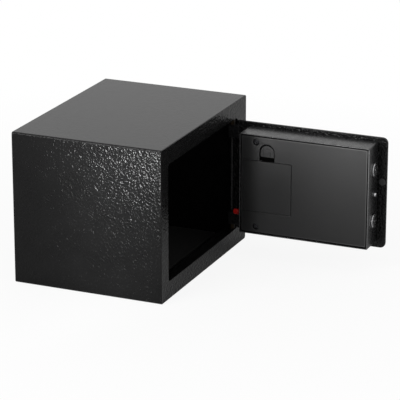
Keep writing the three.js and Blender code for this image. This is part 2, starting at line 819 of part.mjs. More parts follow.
// Contact strip with a tapered spring under each cell
function makeContactStrip() {
  const width = cellPitch * cellCount - cellGap * 2;
  const depths = [bayFloor + seatGap, cellDepth + cellDiameter / 2 - contactMargin];
  const strip = block(minus(about(bayAlong, width)), depths, [0, contactThickness]);
  const springs = cellPlaces.map((along) => turn('z', [
    [contactThickness / 2, contactSpringDiameter / 2],
    [contactThickness + contactSpringLength - seatGap, contactSpringTip / 2],
  ]).translate([-along, cellDepth, 0]));
  return unite(strip, ...springs);
}

// Cross-headed screw lying along depth, with its head's underside at zero
function makeCoverScrew() {
  const head = rod('y', screwHeadDiameter, [0, screwHeadThickness]);
  const shank = rod('y', screwShankDiameter, [-screwShankLength, screwHeadThickness / 2]);
  const depths = startingAt(screwHeadThickness - screwSlotDepth, screwHeadThickness);
  const long = about(0, screwHeadDiameter * 2);
  const narrow = about(0, screwSlotWidth);
  return cut(unite(head, shank), block(long, depths, narrow), block(narrow, depths, long));
}

// Bolt with its free end at zero, running back to the carriage
function makeBolt() {
  const radius = boltDiameter / 2;
  const length = caseEnd + boltRestReach - carriageEnd - seatGap;
  return turn('x', [[0, radius - boltChamfer], [boltChamfer, radius], [length, radius]], mediumSegments);
}

// Bolt carriage: slotted plate, flange that holds both bolts, and the tab that the plunger blocks
function makeCarriage() {
  const heights = [carriageBottom, carriageTop];
  const section = rectangle([carriageStart, carriageEnd], heights, carriageCornerRadius);
  const postSlot = guidePostDiameter + slotGap * 2;
  const travel = [guidePostAlong - boltThrow, guidePostAlong];
  section.holes.push(...guidePostHeights.map((height) => slot(travel, height, postSlot)));
  const pinHeights = [knobHeight + crankRise, knobHeight + crankRadius];
  section.holes.push(uprightSlot(knobAlong - boltThrow / 2, pinHeights, crankPinDiameter + slotGap * 2));
  const plate = extrude('y', section, [carriageFront, carriageBack], cornerSegments + 1);
  const flange = block(
    [-carriageEnd, -carriageEnd + carriageThickness],
    startingAt(carriageFront, carriageFlangeReach),
    [carriageBottom - carriageFlangeRise, carriageTop + carriageFlangeRise],
  );
  const tab = block(
    minus(startingAt(carriageStart, carriageThickness)),
    [carriageFront, latchTabEnd],
    [latchTabTop - latchTabHeight, latchTabTop],
  );
  return unite(plate, flange, tab);
}

// Headed post that the carriage slides on
function makeGuidePost() {
  const shoulder = carriageFront - seatGap;
  const neckEnd = carriageBack + seatGap;
  return turn('y', [
    [innerSeat, guidePostHeadDiameter / 2],
    [shoulder, guidePostHeadDiameter / 2],
    [shoulder, guidePostDiameter / 2],
    [neckEnd, guidePostDiameter / 2],
    [neckEnd, guidePostHeadDiameter / 2],
    [neckEnd + guidePostHeadThickness, guidePostHeadDiameter / 2],
  ]);
}

// Strip inside the case's end wall that both bolts run through
function makeBoltGuide() {
  const wall = startingAt(-boltGuideFar, boltGuideThickness);
  const plate = block(wall, about(boltDepth, boltGuideDepth), about(doorMiddle + boltRise, boltGuideHeight));
  const holes = boltHeights.map((height) =>
    drill('x', boltDiameter + runningGap * 2, wall, [0, boltDepth, height], mediumSegments));
  return cut(plate, ...holes, drill('x', screwShankDiameter + runningGap * 2, wall, endScrewPlace));
}

// Slotted screw lying across the door, with its head's underside at zero
function makeEndScrew() {
  const radius = endScrewDiameter / 2;
  const head = turn('x', [[-screwHeadThickness, radius - screwSlotDepth], [0, radius]]);
  const shank = rod('x', screwShankDiameter, [-screwHeadThickness / 2, screwShankLength]);
  const depths = [-screwHeadThickness - cutOverrun, screwSlotDepth - screwHeadThickness];
  const groove = block(depths, about(0, endScrewDiameter * 2), about(0, screwSlotWidth));
  return cut(unite(head, shank), groove);
}

// Knob: skirted round base with a straight grip bar
function makeKnob() {
  const back = panelFront - runningGap;
  const front = back - knobThickness;
  const base = turn('y', [
    [back - knobThickness / 2, knobGripDiameter / 2],
    [back - knobSkirtThickness, knobDiameter / 2 - knobSkirtThickness / 2],
    [back - knobSkirtThickness / 2, knobDiameter / 2],
    [back, knobDiameter / 2],
  ], largeSegments);
  const barRadius = knobGripBar / 2 - runningGap;
  const barOutline = rectangle(about(0, knobGripBar), about(0, knobGripDiameter), barRadius);
  const bar = extrude('y', barOutline, [front, back - knobSkirtThickness], arcSegments);
  const bore = rod('y', spindleDiameter + seatGap * 2, [back - knobBoreDepth, back + cutOverrun]);
  return cut(unite(base, bar), bore);
}

// Spindle with the crank arm at its inner end and the pin that drives the carriage
function makeSpindle() {
  const crankBack = crankFront + crankThickness;
  const shaft = rod('y', spindleDiameter, [panelFront - runningGap - knobBoreDepth + seatGap, crankBack]);
  const arm = extrude('y', slot([0, crankRadius], 0, spindleDiameter), [crankFront, crankBack], arcSegments);
  const pinDepths = [crankFront, carriageBack + crankPinReach];
  const pin = rod('y', crankPinDiameter, pinDepths).translate([-crankRadius, 0, 0]);
  const restDegrees = THREE.MathUtils.radToDeg(Math.PI / 2 + knobHalfTurn);
  return unite(shaft, unite(arm, pin).rotate([0, restDegrees, 0]));
}

function makeSpindleBush() {
  const wall = startingAt(innerSeat, spindleBushThickness);
  const bore = drill('y', spindleDiameter + runningGap * 2, wall, [0, 0, 0]);
  return cut(rod('y', spindleBushDiameter, wall), bore);
}

// Bracket from the door to the solenoid, stepped over the top of the carriage
function makeSolenoidBracket() {
  const across = minus(about(plungerAlong, solenoidWidth));
  const seat = plungerDepth - solenoidDepth / 2 - seatGap;
  const step = carriageTop + bracketClearance;
  const footHeight = (caseTop - caseSheet - caseFootWidth - step) * bracketFootShare;
  const foot = block(across, startingAt(innerSeat, bracketSheet), startingAt(step, footHeight));
  const shelf = block(across, [innerSeat, seat], startingAt(step, bracketSheet));
  const back = block(across, [seat - bracketSheet, seat], [solenoidFoot, step + bracketSheet]);
  return unite(foot, shelf, back);
}

// Solenoid: steel frame open at one side round a wound coil, bored for the plunger
function makeSolenoid() {
  const across = about(0, solenoidWidth);
  const depths = about(0, solenoidDepth);
  const upper = [solenoidHeight - solenoidPlate, solenoidHeight];
  const frame = unite(
    block(across, depths, [0, solenoidPlate]),
    block(across, depths, upper),
    block([across[1] - solenoidPlate, across[1]], depths, [0, solenoidHeight]),
  );
  const windings = [solenoidPlate / 2, upper[0] + solenoidPlate / 2];
  const coil = rod('z', solenoidDepth - runningGap * 2, windings, mediumSegments);
  const bore = rod('z', plungerDiameter + runningGap * 2, [-cutOverrun, upper[0] - solenoidPlate]);
  return cut(unite(frame, coil), bore);
}

function makePlunger() {
  const radius = plungerDiameter / 2;
  const top = solenoidFoot + solenoidHeight - solenoidPlate * 2 - seatGap;
  return turn('z', [
    [plungerTip, radius - boltChamfer],
    [plungerTip + boltChamfer, radius],
    [collarFoot, radius],
    [collarFoot, collarDiameter / 2],
    [collarFoot + collarThickness, collarDiameter / 2],
    [collarFoot + collarThickness, radius],
    [top, radius],
  ]);
}

// Coil spring between the collar and the solenoid
function makePlungerSpring() {
  const low = springFoot + springWire / 2;
  const climb = springLength - springWire;
  const steps = springTurns * springStepsPerTurn;
  const radius = (springDiameter - springWire) / 2;
  const points = [];
  for (let step = 0; step <= steps; step += 1) {
    const angle = step / springStepsPerTurn * Math.PI * 2;
    const height = low + climb * step / steps;
    points.push(new THREE.Vector3(radius * Math.cos(angle), radius * Math.sin(angle), height));
  }
  const section = new THREE.Shape().absarc(0, 0, springWire / 2, 0, Math.PI * 2);
  const extrudePath = new THREE.CatmullRomCurve3(points);
  const options = { steps, curveSegments: springWireSegments, bevelEnabled: false, extrudePath };
  return toSolid(new THREE.ExtrudeGeometry(section, options));
}

// Keys, listed from the top left as seen from the front
const keyNames = [
  'key_1', 'key_2', 'key_3',
  'key_4', 'key_5', 'key_6',
  'key_7', 'key_8', 'key_9',
  'key_clear', 'key_0', 'key_enter',
];
const keyPlaces = keyNames.map((name, index) => {
  const column = index % keyColumns - (keyColumns - 1) / 2;
  const row = Math.floor(index / keyColumns) - (keyRows - 1) / 2;
  return { name, along: keypadAlong - column * keyPitchAlong, height: keypadHeight - row * keyPitchHeight };
});
const lightPlaces = [-1, 0, 1].map((side) => keypadAlong + side * lightPitch);

// Front panel: moulded shell, open towards the door and pierced for keys, lights, lock and knob
function makeFrontPanel() {
  const outline = (inset) => rectangle(
    [panelMargin + inset, panelEnd - inset],
    about(panelMiddle, panelHeight - inset * 2),
    panelCornerRadius - inset,
  );
  const shell = extrude('y', outline(0), [panelFront, panelBack]);
  const hollow = extrude('y', outline(panelWall), [webBack, panelBack + cutOverrun]);
  const web = [panelFront, webBack];
  const keyHoles = keyPlaces.map(({ along, height }) => block(
    minus(about(along, keyWidth + runningGap * 2)),
    overrun(web),
    about(height, keyHeight + runningGap * 2),
  ));
  const lightHoles = lightPlaces.map((along) =>
    drill('y', lightDiameter + seatGap * 2, web, [-along, 0, lightHeight]));
  return cut(
    shell,
    hollow,
    ...keyHoles,
    ...lightHoles,
    drill('y', barrelDiameter + runningGap * 2, web, [-lockAlong, 0, lockHeight], mediumSegments),
    drill('y', capPivotDiameter + seatGap * 2, web, [-lockAlong, 0, lockHeight + capPivotRise]),
    drill('y', spindleDiameter + runningGap * 2 + seatGap * 2, web, [-knobAlong, 0, knobHeight]),
  );
}

// Key: cap through the panel with a flange behind it
function makeKey() {
  const outline = rectangle(about(0, keyWidth), about(0, keyHeight), keyCornerRadius);
  const cap = extrude('y', outline, [panelFront - keyProud, keyFlangeBack]);
  const flange = block(
    about(0, keyWidth + keyFlange * 2),
    [keyFlangeFront, keyFlangeBack],
    about(0, keyHeight + keyFlange * 2),
  );
  return unite(cap, flange);
}

// Rubber mat behind the keys, with a hollow dome under each one
function makeKeyMat() {
  const front = keyFlangeBack + keyTravel + seatGap;
  const width = keyPitchAlong * (keyColumns - 1) + keyWidth + matBorder * 2;
  const height = keyPitchHeight * (keyRows - 1) + keyHeight + matBorder * 2;
  const sheet = block(minus(about(keypadAlong, width)), [front, panelBack], about(keypadHeight, height));
  const domes = keyPlaces.map((key) => block(
    minus(about(key.along, domeWidth)),
    [front + domeWall, panelBack + cutOverrun],
    about(key.height, domeHeight),
  ));
  return cut(sheet, ...domes);
}

// Light pipe: bar behind the panel with three domed lights through it
function makeStatusLights() {
  const radius = lightDiameter / 2;
  const barDepths = startingAt(webBack + seatGap, panelWall);
  const across = minus(about(keypadAlong, (lightPitch + lightDiameter) * 2));
  const bar = block(across, barDepths, about(lightHeight, lightDiameter * 2));
  const lights = lightPlaces.map((along) => turn('y', [
    [panelFront - lightProud, radius / 2],
    [panelFront - lightProud / 2, radius * Math.sqrt(3) / 2],
    [panelFront, radius],
    [barDepths[0] + panelWall / 2, radius],
  ]).translate([-along, 0, lightHeight]));
  return unite(bar, ...lights);
}

// Emergency lock: flanged barrel, turning plug with its cam, and the nut behind the door
function makeLockBarrel() {
  const seat = panelFront - seatGap;
  const outer = turn('y', [
    [barrelFront, barrelFlangeDiameter / 2],
    [seat, barrelFlangeDiameter / 2],
    [seat, barrelDiameter / 2],
    [barrelRear, barrelDiameter / 2],
  ], mediumSegments);
  const length = [barrelFront, barrelRear];
  return cut(outer, drill('y', plugDiameter + runningGap * 2, length, [0, 0, 0], mediumSegments));
}

function makeKeyPlug() {
  const body = rod('y', plugDiameter, [barrelFront, camFront - seatGap], mediumSegments);
  const depths = [barrelFront - cutOverrun, barrelFront + keySlotDepth];
  const keyway = block(about(0, keySlotWidth), depths, about(0, keySlotHeight));
  return cut(body, keyway);
}

function makeLockCam() {
  const depths = startingAt(camFront, camThickness);
  const hub = rod('y', camHubDiameter, depths);
  const arm = extrude('y', rectangle([0, camLength], about(0, camWidth), camWidth / 2 - seatGap), depths);
  return unite(hub, arm.rotate([0, camRestDegrees, 0]));
}

function makeBarrelNut() {
  const wall = startingAt(innerSeat, nutThickness);
  const acrossCorners = nutAcrossFlats / Math.cos(Math.PI / nutSides);
  const bore = drill('y', barrelDiameter + seatGap * 2, wall, [0, 0, 0], mediumSegments);
  return cut(rod('y', acrossCorners, wall, nutSides), bore);
}

// Keyhole cap: disc that swings aside on a pin above the lock
function makeKeyholeCap() {
  const back = barrelFront - seatGap;
  const front = back - capThickness;
  const middle = (front + back) / 2;
  const disc = turn('y', [
    [front, (capDiameter - capThickness) / 2],
    [middle, capDiameter / 2],
    [back, capDiameter / 2],
  ], mediumSegments).translate([0, 0, -capPivotRise]);
  const eyeDiameter = capPivotDiameter * 2;
  const ear = block(about(0, eyeDiameter), [middle, back], [-capPivotRise / 2, 0]);
  const eye = rod('y', eyeDiameter, [middle, back]);
  const pin = rod('y', capPivotDiameter, [middle, webBack + capPivotReach]);
  return unite(disc, ear, eye, pin);
}

// Reset button: cap and stem through the case's hinge side, a collar bush, and the switch behind
function makeResetButton() {
  const capBack = -caseStart + resetBushThickness + resetTravel + seatGap * 2;
  const capFront = capBack + resetCapLength;
  const radius = resetCapDiameter / 2;
  const cap = turn('x', [[capBack, radius], [capFront - radius / 2, radius], [capFront, radius / 2]]);
  const stemEnd = -switchAlong + resetTravel + seatGap;
  const stem = rod('x', resetStemDiameter, [stemEnd, capBack + resetCapLength / 2]);
  return unite(cap, stem);
}

function makeResetBush() {
  const wall = startingAt(-caseStart + seatGap, resetBushThickness);
  const bore = drill('x', resetStemDiameter + runningGap * 2, wall, [0, 0, 0]);
  return cut(rod('x', resetBushDiameter, wall), bore);
}

function makeResetSwitch() {
  const along = minus(startingAt(switchAlong, switchLength));
  return block(along, about(resetDepth, switchDepth), [switchTop - switchHeight, switchTop]);
}

// Control board on four feet, with its larger parts
function makeControlBoard() {
  const start = caseStart + caseSheet + boardMargin;
  const end = bayEnd - boardMargin;
  const middle = doorMiddle + boardRise;
  const face = innerSeat + caseSheet + seatGap;
  const width = end - start;
  const bottom = middle - boardHeight / 2;
  const board = block([-end, -start], startingAt(face, boardThickness), startingAt(bottom, boardHeight));
  const parts = boardPartShares.map(({ across, up, wide, tall }) => block(
    minus(about(start + across * width, wide * width)),
    startingAt(face, boardThickness + boardPartHeight),
    about(bottom + up * boardHeight, tall * boardHeight),
  ));
  const feet = about((start + end) / 2, width - boardFootInset * 2).flatMap((along) =>
    about(middle, boardHeight - boardFootInset * 2).map((height) =>
      rod('y', boardFootDiameter, [innerSeat, face + boardThickness / 2]).translate([-along, 0, height])));
  return unite(board, ...parts, ...feet);
}

// The cabinet and what is fixed to it
function addCabinet(safe) {
  const upperBush = doorTop - hingeNotchHeight + seatGap;
  const lowerBush = doorBottom + hingeNotchHeight - seatGap - hingeBushHeight;
  addPiece(safe, 'cabinet_shell', makeCabinetShell(), hammeredPaint());
  addPiece(safe, 'back_panel', makeBackPanel(), hammeredPaint());
  addPiece(safe, 'floor_mat', makeFloorMat(), rubber());
  addPiece(safe, 'door_stop', makeDoorStop(), hammeredPaint());
  addPiece(safe, 'upper_hinge_bush', makeHingeBush(), brass(), [hingeAxisX, hingeAxisY, upperBush]);
  addPiece(safe, 'lower_hinge_bush', makeHingeBush(), brass(), [hingeAxisX, hingeAxisY, lowerBush]);
}

// The door plate, lock case and rear cover with their fixings
function addDoorShell(door) {
  addPiece(door, 'door_plate', makeDoorPlate(), hammeredPaint());
  addPiece(door, 'upper_hinge_lug', makeHingeLug(), zincSteel());
  addPiece(door, 'lower_hinge_lug', makeLowerHingeLug(), zincSteel());
  addPiece(door, 'lock_case', makeLockCase(), satinPaint());
  addPiece(door, 'rear_cover', makeRearCover(), blackPlastic());
  const [, endScrewDepth, endScrewHeight] = endScrewPlace;
  addPiece(door, 'case_screw', makeEndScrew(), chrome(), [-caseEnd - seatGap, endScrewDepth, endScrewHeight]);
  const screwSeat = coverScrewFloor + seatGap;
  ['upper_cover_screw', 'lower_cover_screw'].forEach((name, index) => {
    const place = [-coverScrewAlong, screwSeat, coverScrewHeights[index]];
    addPiece(door, name, makeCoverScrew(), zincSteel(), place);
  });
  const bufferPlace = [-doorReach + caseFreeMargin / 2, innerSeat, doorMiddle + bufferRise];
  addPiece(door, 'door_buffer', rod('y', bufferDiameter, [0, bufferThickness]), rubber(), bufferPlace);
}

// Battery box contents, battery door, board and reset button
function addPower(door) {
  addPiece(door, 'battery_door', makeBatteryDoor(), blackPlastic());
  addPiece(door, 'control_board', makeControlBoard(), circuitBoard());
  const cellFoot = bayBottom + bayRoom;
  cellPlaces.forEach((along, index) => {
    const upright = index % 2 === 0;
    const cell = upright ? makeCell() : makeCell().mirror([0, 0, 1]).translate([0, 0, cellLength]);
    addPiece(door, `battery_${index + 1}`, cell, cellJacket(), [-along, cellDepth, cellFoot]);
  });
  const lowerStrip = makeContactStrip();
  const upperStrip = lowerStrip.mirror([0, 0, 1]);
  addPiece(door, 'lower_contact_strip', lowerStrip, zincSteel(), [0, 0, bayBottom + seatGap]);
  addPiece(door, 'upper_contact_strip', upperStrip, zincSteel(), [0, 0, bayTop - seatGap]);
  addPiece(door, 'reset_switch', makeResetSwitch(), blackPlastic());
  addPiece(door, 'reset_bush', makeResetBush(), palePlastic(), [0, resetDepth, resetHeight]);
  addPiece(door, 'reset_button', makeResetButton(), redPlastic(), [0, resetDepth, resetHeight]);
}

// Knob, carriage, bolts and the solenoid that blocks them
function addBoltWork(door) {
  const knobPlace = [-knobAlong, 0, knobHeight];
  addPiece(door, 'knob', makeKnob(), silverPlastic(), knobPlace);
  addPiece(door, 'knob_spindle', makeSpindle(), zincSteel(), knobPlace);
  addPiece(door, 'spindle_bush', makeSpindleBush(), brass(), knobPlace);
  addPiece(door, 'bolt_carriage', makeCarriage(), zincSteel());
  addPiece(door, 'bolt_guide', makeBoltGuide(), zincSteel());
  ['upper_bolt', 'lower_bolt'].forEach((name, index) => {
    addPiece(door, name, makeBolt(), chrome(), [-caseEnd - boltRestReach, boltDepth, boltHeights[index]]);
  });
  ['upper_guide_post', 'lower_guide_post'].forEach((name, index) => {
    addPiece(door, name, makeGuidePost(), zincSteel(), [-guidePostAlong, 0, guidePostHeights[index]]);
  });
  addPiece(door, 'solenoid_bracket', makeSolenoidBracket(), zincSteel());
  addPiece(door, 'solenoid', makeSolenoid(), zincSteel(), [-plungerAlong, plungerDepth, solenoidFoot]);
  addPiece(door, 'plunger', makePlunger(), zincSteel(), [-plungerAlong, plungerDepth, 0]);
  addPiece(door, 'plunger_spring', makePlungerSpring(), zincSteel(), [-plungerAlong, plungerDepth, 0]);
}

// Keypad, lights and emergency lock on the front of the door
function addFront(door) {
  addPiece(door, 'front_panel', makeFrontPanel(), blackPlastic());
  addPiece(door, 'key_mat', makeKeyMat(), rubber());
  addPiece(door, 'status_lights', makeStatusLights(), lightPipe());
  for (const { name, along, height } of keyPlaces) {
    addPiece(door, name, makeKey(), silverPlastic(), [-along, 0, height]);
  }
  const lockPlace = [-lockAlong, 0, lockHeight];
  addPiece(door, 'lock_barrel', makeLockBarrel(), chrome(), lockPlace);
  addPiece(door, 'barrel_nut', makeBarrelNut(), zincSteel(), lockPlace);
  addPiece(door, 'key_plug', makeKeyPlug(), brass(), lockPlace);
  addPiece(door, 'lock_cam', makeLockCam(), zincSteel(), lockPlace);
  const capPlace = [-lockAlong, 0, lockHeight + capPivotRise];
  addPiece(door, 'keyhole_cap', makeKeyholeCap(), silverPlastic(), capPlace);
}

// The outer group turns about the hinge axis; the inner one puts depth zero on the door's outer face
const safe = new THREE.Group();
const hinge = new THREE.Group();
hinge.position.set(hingeAxisX, hingeAxisY, 0);
hinge.rotation.z = THREE.MathUtils.degToRad(doorOpenDegrees);
const door = new THREE.Group();
door.position.y = -hingeAxisDepth;
hinge.add(door);
safe.add(hinge);

addCabinet(safe);
addDoorShell(door);
addPower(door);
addBoltWork(door);
addFront(door);

export default safe;
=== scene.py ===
"""Small electronic steel safe, door open: finishes, rounded edges, fine pieces, floor, light and camera"""

import json
import math

import bmesh
import bpy
from mathutils import Matrix, Vector

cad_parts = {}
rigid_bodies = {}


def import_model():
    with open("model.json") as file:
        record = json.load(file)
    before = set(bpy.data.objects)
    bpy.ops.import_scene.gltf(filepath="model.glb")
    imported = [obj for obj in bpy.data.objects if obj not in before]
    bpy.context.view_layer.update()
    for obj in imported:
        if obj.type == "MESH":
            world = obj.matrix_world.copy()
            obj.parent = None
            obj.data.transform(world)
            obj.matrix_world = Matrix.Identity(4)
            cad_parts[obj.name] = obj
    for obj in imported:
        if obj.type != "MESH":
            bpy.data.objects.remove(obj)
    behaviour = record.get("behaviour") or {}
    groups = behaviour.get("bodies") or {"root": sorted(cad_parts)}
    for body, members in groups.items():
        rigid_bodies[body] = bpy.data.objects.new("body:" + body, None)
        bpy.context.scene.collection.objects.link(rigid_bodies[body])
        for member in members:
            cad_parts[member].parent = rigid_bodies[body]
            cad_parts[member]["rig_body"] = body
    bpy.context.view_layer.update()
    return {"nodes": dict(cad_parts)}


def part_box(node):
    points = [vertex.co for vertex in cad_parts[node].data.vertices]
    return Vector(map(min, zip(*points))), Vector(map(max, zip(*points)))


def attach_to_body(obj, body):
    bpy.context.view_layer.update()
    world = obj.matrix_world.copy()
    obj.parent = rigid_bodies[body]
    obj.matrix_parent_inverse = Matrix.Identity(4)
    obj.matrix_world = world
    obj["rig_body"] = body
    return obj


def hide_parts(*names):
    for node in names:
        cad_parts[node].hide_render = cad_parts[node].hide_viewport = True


for leftover in list(bpy.data.objects):
    bpy.data.objects.remove(leftover)

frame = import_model()
nodes = frame["nodes"]

MM = 0.001
X, Y, Z = 0, 1, 2
PLUS_X, MINUS_X = (1, 0, 0), (-1, 0, 0)
PLUS_Y, MINUS_Y = (0, 1, 0), (0, -1, 0)
UP = (0, 0, 1)

# Node helpers

NOISE_BAND = (0.3, 0.7)
NOISE_VALUE, NOISE_COLOUR = 0, 1
# The mix node's first input, second input and output, by kind
MIX_SOCKETS = {"VECTOR": (4, 5, 1), "RGBA": (6, 7, 2)}


def add(tree, kind, settings=None, inputs=None):
    """Adds a node, sets its properties, and links or sets its inputs"""
    made = tree.nodes.new(kind)
    for name, value in (settings or {}).items():
        setattr(made, name, value)
    for socket, value in (inputs or {}).items():
        if isinstance(value, bpy.types.NodeSocket):
            tree.links.new(value, made.inputs[socket])
        else:
            made.inputs[socket].default_value = value
    return made


def material(name, specular=0.5, metallic=0.0, coat=0.0, coat_roughness=0.1):
    """A material with its constant values on the surface shader's own sockets"""
    made = bpy.data.materials.new(name)
    made.use_nodes = True
    surface = made.node_tree.nodes["Principled BSDF"].inputs
    surface["Metallic"].default_value = metallic
    surface["Specular IOR Level"].default_value = specular
    surface["Coat Weight"].default_value = coat
    surface["Coat Roughness"].default_value = coat_roughness
    return made


def grey(level, blue=None):
    """A neutral colour, or a slightly cool one where a level for blue is given"""
    return level, level, level if blue is None else blue, 1


def place(tree, stretch=(1, 1, 1)):
    """Metres along the frame's axes, stretched where a grain runs one way"""
    spot = add(tree, "ShaderNodeTexCoord").outputs["Object"]
    if stretch == (1, 1, 1):
        return spot
    return add(tree, "ShaderNodeMapping", None, {"Vector": spot, "Scale": stretch}).outputs[0]


def noise(tree, where, grain, detail=2.0, roughness=0.5, output=NOISE_VALUE):
    inputs = {"Vector": where, "Scale": 1 / grain, "Detail": detail, "Roughness": roughness}
    return add(tree, "ShaderNodeTexNoise", None, inputs).outputs[output]


def cells(tree, where, grain, feature="SMOOTH_F1", randomness=1.0):
    inputs = {"Vector": where, "Scale": 1 / grain, "Randomness": randomness}
    return add(tree, "ShaderNodeTexVoronoi", {"feature": feature}, inputs).outputs["Distance"]


def spread(tree, value, source, target):
    """Maps one range onto another and holds the ends"""
    inputs = {
        "Value": value, "From Min": source[0], "From Max": source[1],
        "To Min": target[0], "To Max": target[1],
    }
    return add(tree, "ShaderNodeMapRange", {"clamp": True}, inputs).outputs[0]


def maths(tree, operation, *values):
    return add(tree, "ShaderNodeMath", {"operation": operation}, dict(enumerate(values))).outputs[0]


def blend(tree, factor, first, second, kind="RGBA"):
    one, other, result = MIX_SOCKETS[kind]
    mixed = add(tree, "ShaderNodeMix", {"data_type": kind}, {0: factor, one: first, other: second})
    return mixed.outputs[result]


def shade(tree, socket, value):
    tree.links.new(value, tree.nodes["Principled BSDF"].inputs[socket])


def relief(tree, height, depth, strength=1.0):
    inputs = {"Height": height, "Distance": depth, "Strength": strength}
    return add(tree, "ShaderNodeBump", None, inputs).outputs[0]


def axis(tree, which):
    """One coordinate in metres"""
    return add(tree, "ShaderNodeSeparateXYZ", None, {0: place(tree)}).outputs[which]


def facing_up(tree):
    """0 on walls, 1 on level faces"""
    wall, level = 0.6, 0.95
    normal = add(tree, "ShaderNodeNewGeometry").outputs["Normal"]
    upward = add(tree, "ShaderNodeSeparateXYZ", None, {0: normal}).outputs[Z]
    return spread(tree, upward, (wall, level), (0, 1))


def within(tree, low, high):
    """Distance inside a rectangle of Y and Z, negative outside it"""
    sides = []
    for which, least, most in zip((Y, Z), low, high):
        offset = maths(tree, "SUBTRACT", axis(tree, which), (least + most) / 2)
        sides.append(maths(tree, "SUBTRACT", (most - least) / 2, maths(tree, "ABSOLUTE", offset)))
    return maths(tree, "MINIMUM", *sides)


# Painted steel


def hammered_paint(name, depth):
    """Black textured powder coat: pebbles with a fine orange peel, flowed out flatter on top"""
    pebble_grain, peel_grain = 2.2 * MM, 1.2 * MM
    swell_grain, patch_grain = 7 * MM, 30 * MM
    pebble_slope, swell_band, swell_height = (0.05, 0.7), (0.2, 0.8), (0.35, 0.65)
    warp, peel_share, strength_on_top = 0.0014, 0.3, 0.2
    darker, lighter, roughness = grey(0.003, 0.0031), grey(0.007, 0.0071), (0.18, 0.22)
    made = material(name, specular=0.15)
    tree = made.node_tree
    where = place(tree)
    drift = noise(tree, where, pebble_grain, detail=1.0, output=NOISE_COLOUR)
    bent = blend(tree, warp, where, drift, "VECTOR")
    pebble = spread(tree, cells(tree, bent, pebble_grain), pebble_slope, (1, 0))
    swell = spread(tree, noise(tree, where, swell_grain, detail=1.0), swell_band, swell_height)
    peel = maths(tree, "MULTIPLY", noise(tree, where, peel_grain, detail=1.0), peel_share)
    height = maths(tree, "ADD", maths(tree, "MULTIPLY", pebble, swell), peel)
    flow = spread(tree, facing_up(tree), (0, 1), (1, strength_on_top))
    shade(tree, "Normal", relief(tree, height, depth, flow))
    patch = noise(tree, where, patch_grain, detail=3.0)
    shade(tree, "Base Color", blend(tree, patch, darker, lighter))
    shade(tree, "Roughness", spread(tree, noise(tree, where, swell_grain), NOISE_BAND, roughness))
    return made


def rubbing(tree, low, high):
    """Painted highlight grows toward the door's free side and its top, where the light catches the edges"""
    at_hinge, at_foot = 0.15, 0.45
    across = spread(tree, axis(tree, Y), (high.y, low.y), (at_hinge, 1))
    upward = spread(tree, axis(tree, Z), (low.z, high.z), (at_foot, 1))
    return maths(tree, "MULTIPLY", across, upward)


def satin_paint(case):
    """Smooth black paint of the lock case, with a painted highlight line along the open rim but less on its
    top edge
    """
    low, high = case
    rim_start, rim_end, rim_highlight = 0.1 * MM, 0.3 * MM, 0.9
    top_edge, below_top, top_share = 1.4 * MM, 1.8 * MM, 0.25
    fine_grain, wear_grain, patch_grain = 0.9 * MM, 8 * MM, 22 * MM
    fine_depth, roughness = 0.02 * MM, (0.22, 0.33)
    darker, lighter, rim_highlight_grey = grey(0.009, 0.0095), grey(0.014, 0.0145), grey(0.24, 0.243)
    made = material("satin_black", specular=0.3)
    tree = made.node_tree
    where = place(tree)
    shade(tree, "Normal", relief(tree, noise(tree, where, fine_grain), fine_depth))
    patch = noise(tree, where, patch_grain, detail=3.0)
    paint = blend(tree, patch, darker, lighter)
    # Painted highlight: the open rim is painted pale where the light would catch its edge, weaker on the
    # top edge, toward the hinge and toward the foot
    rim = spread(tree, axis(tree, X), (low.x + rim_start, low.x + rim_end), (rim_highlight, 0))
    top = spread(tree, axis(tree, Z), (high.z - below_top, high.z - top_edge), (1, top_share))
    rim_painted_highlight = maths(tree, "MULTIPLY", maths(tree, "MULTIPLY", rim, top), rubbing(tree, low, high))
    shade(tree, "Base Color", blend(tree, rim_painted_highlight, paint, rim_highlight_grey))
    wear = noise(tree, where, wear_grain, detail=3.0)
    shade(tree, "Roughness", spread(tree, wear, NOISE_BAND, roughness))
    return made


# Plastics, rubber and ink


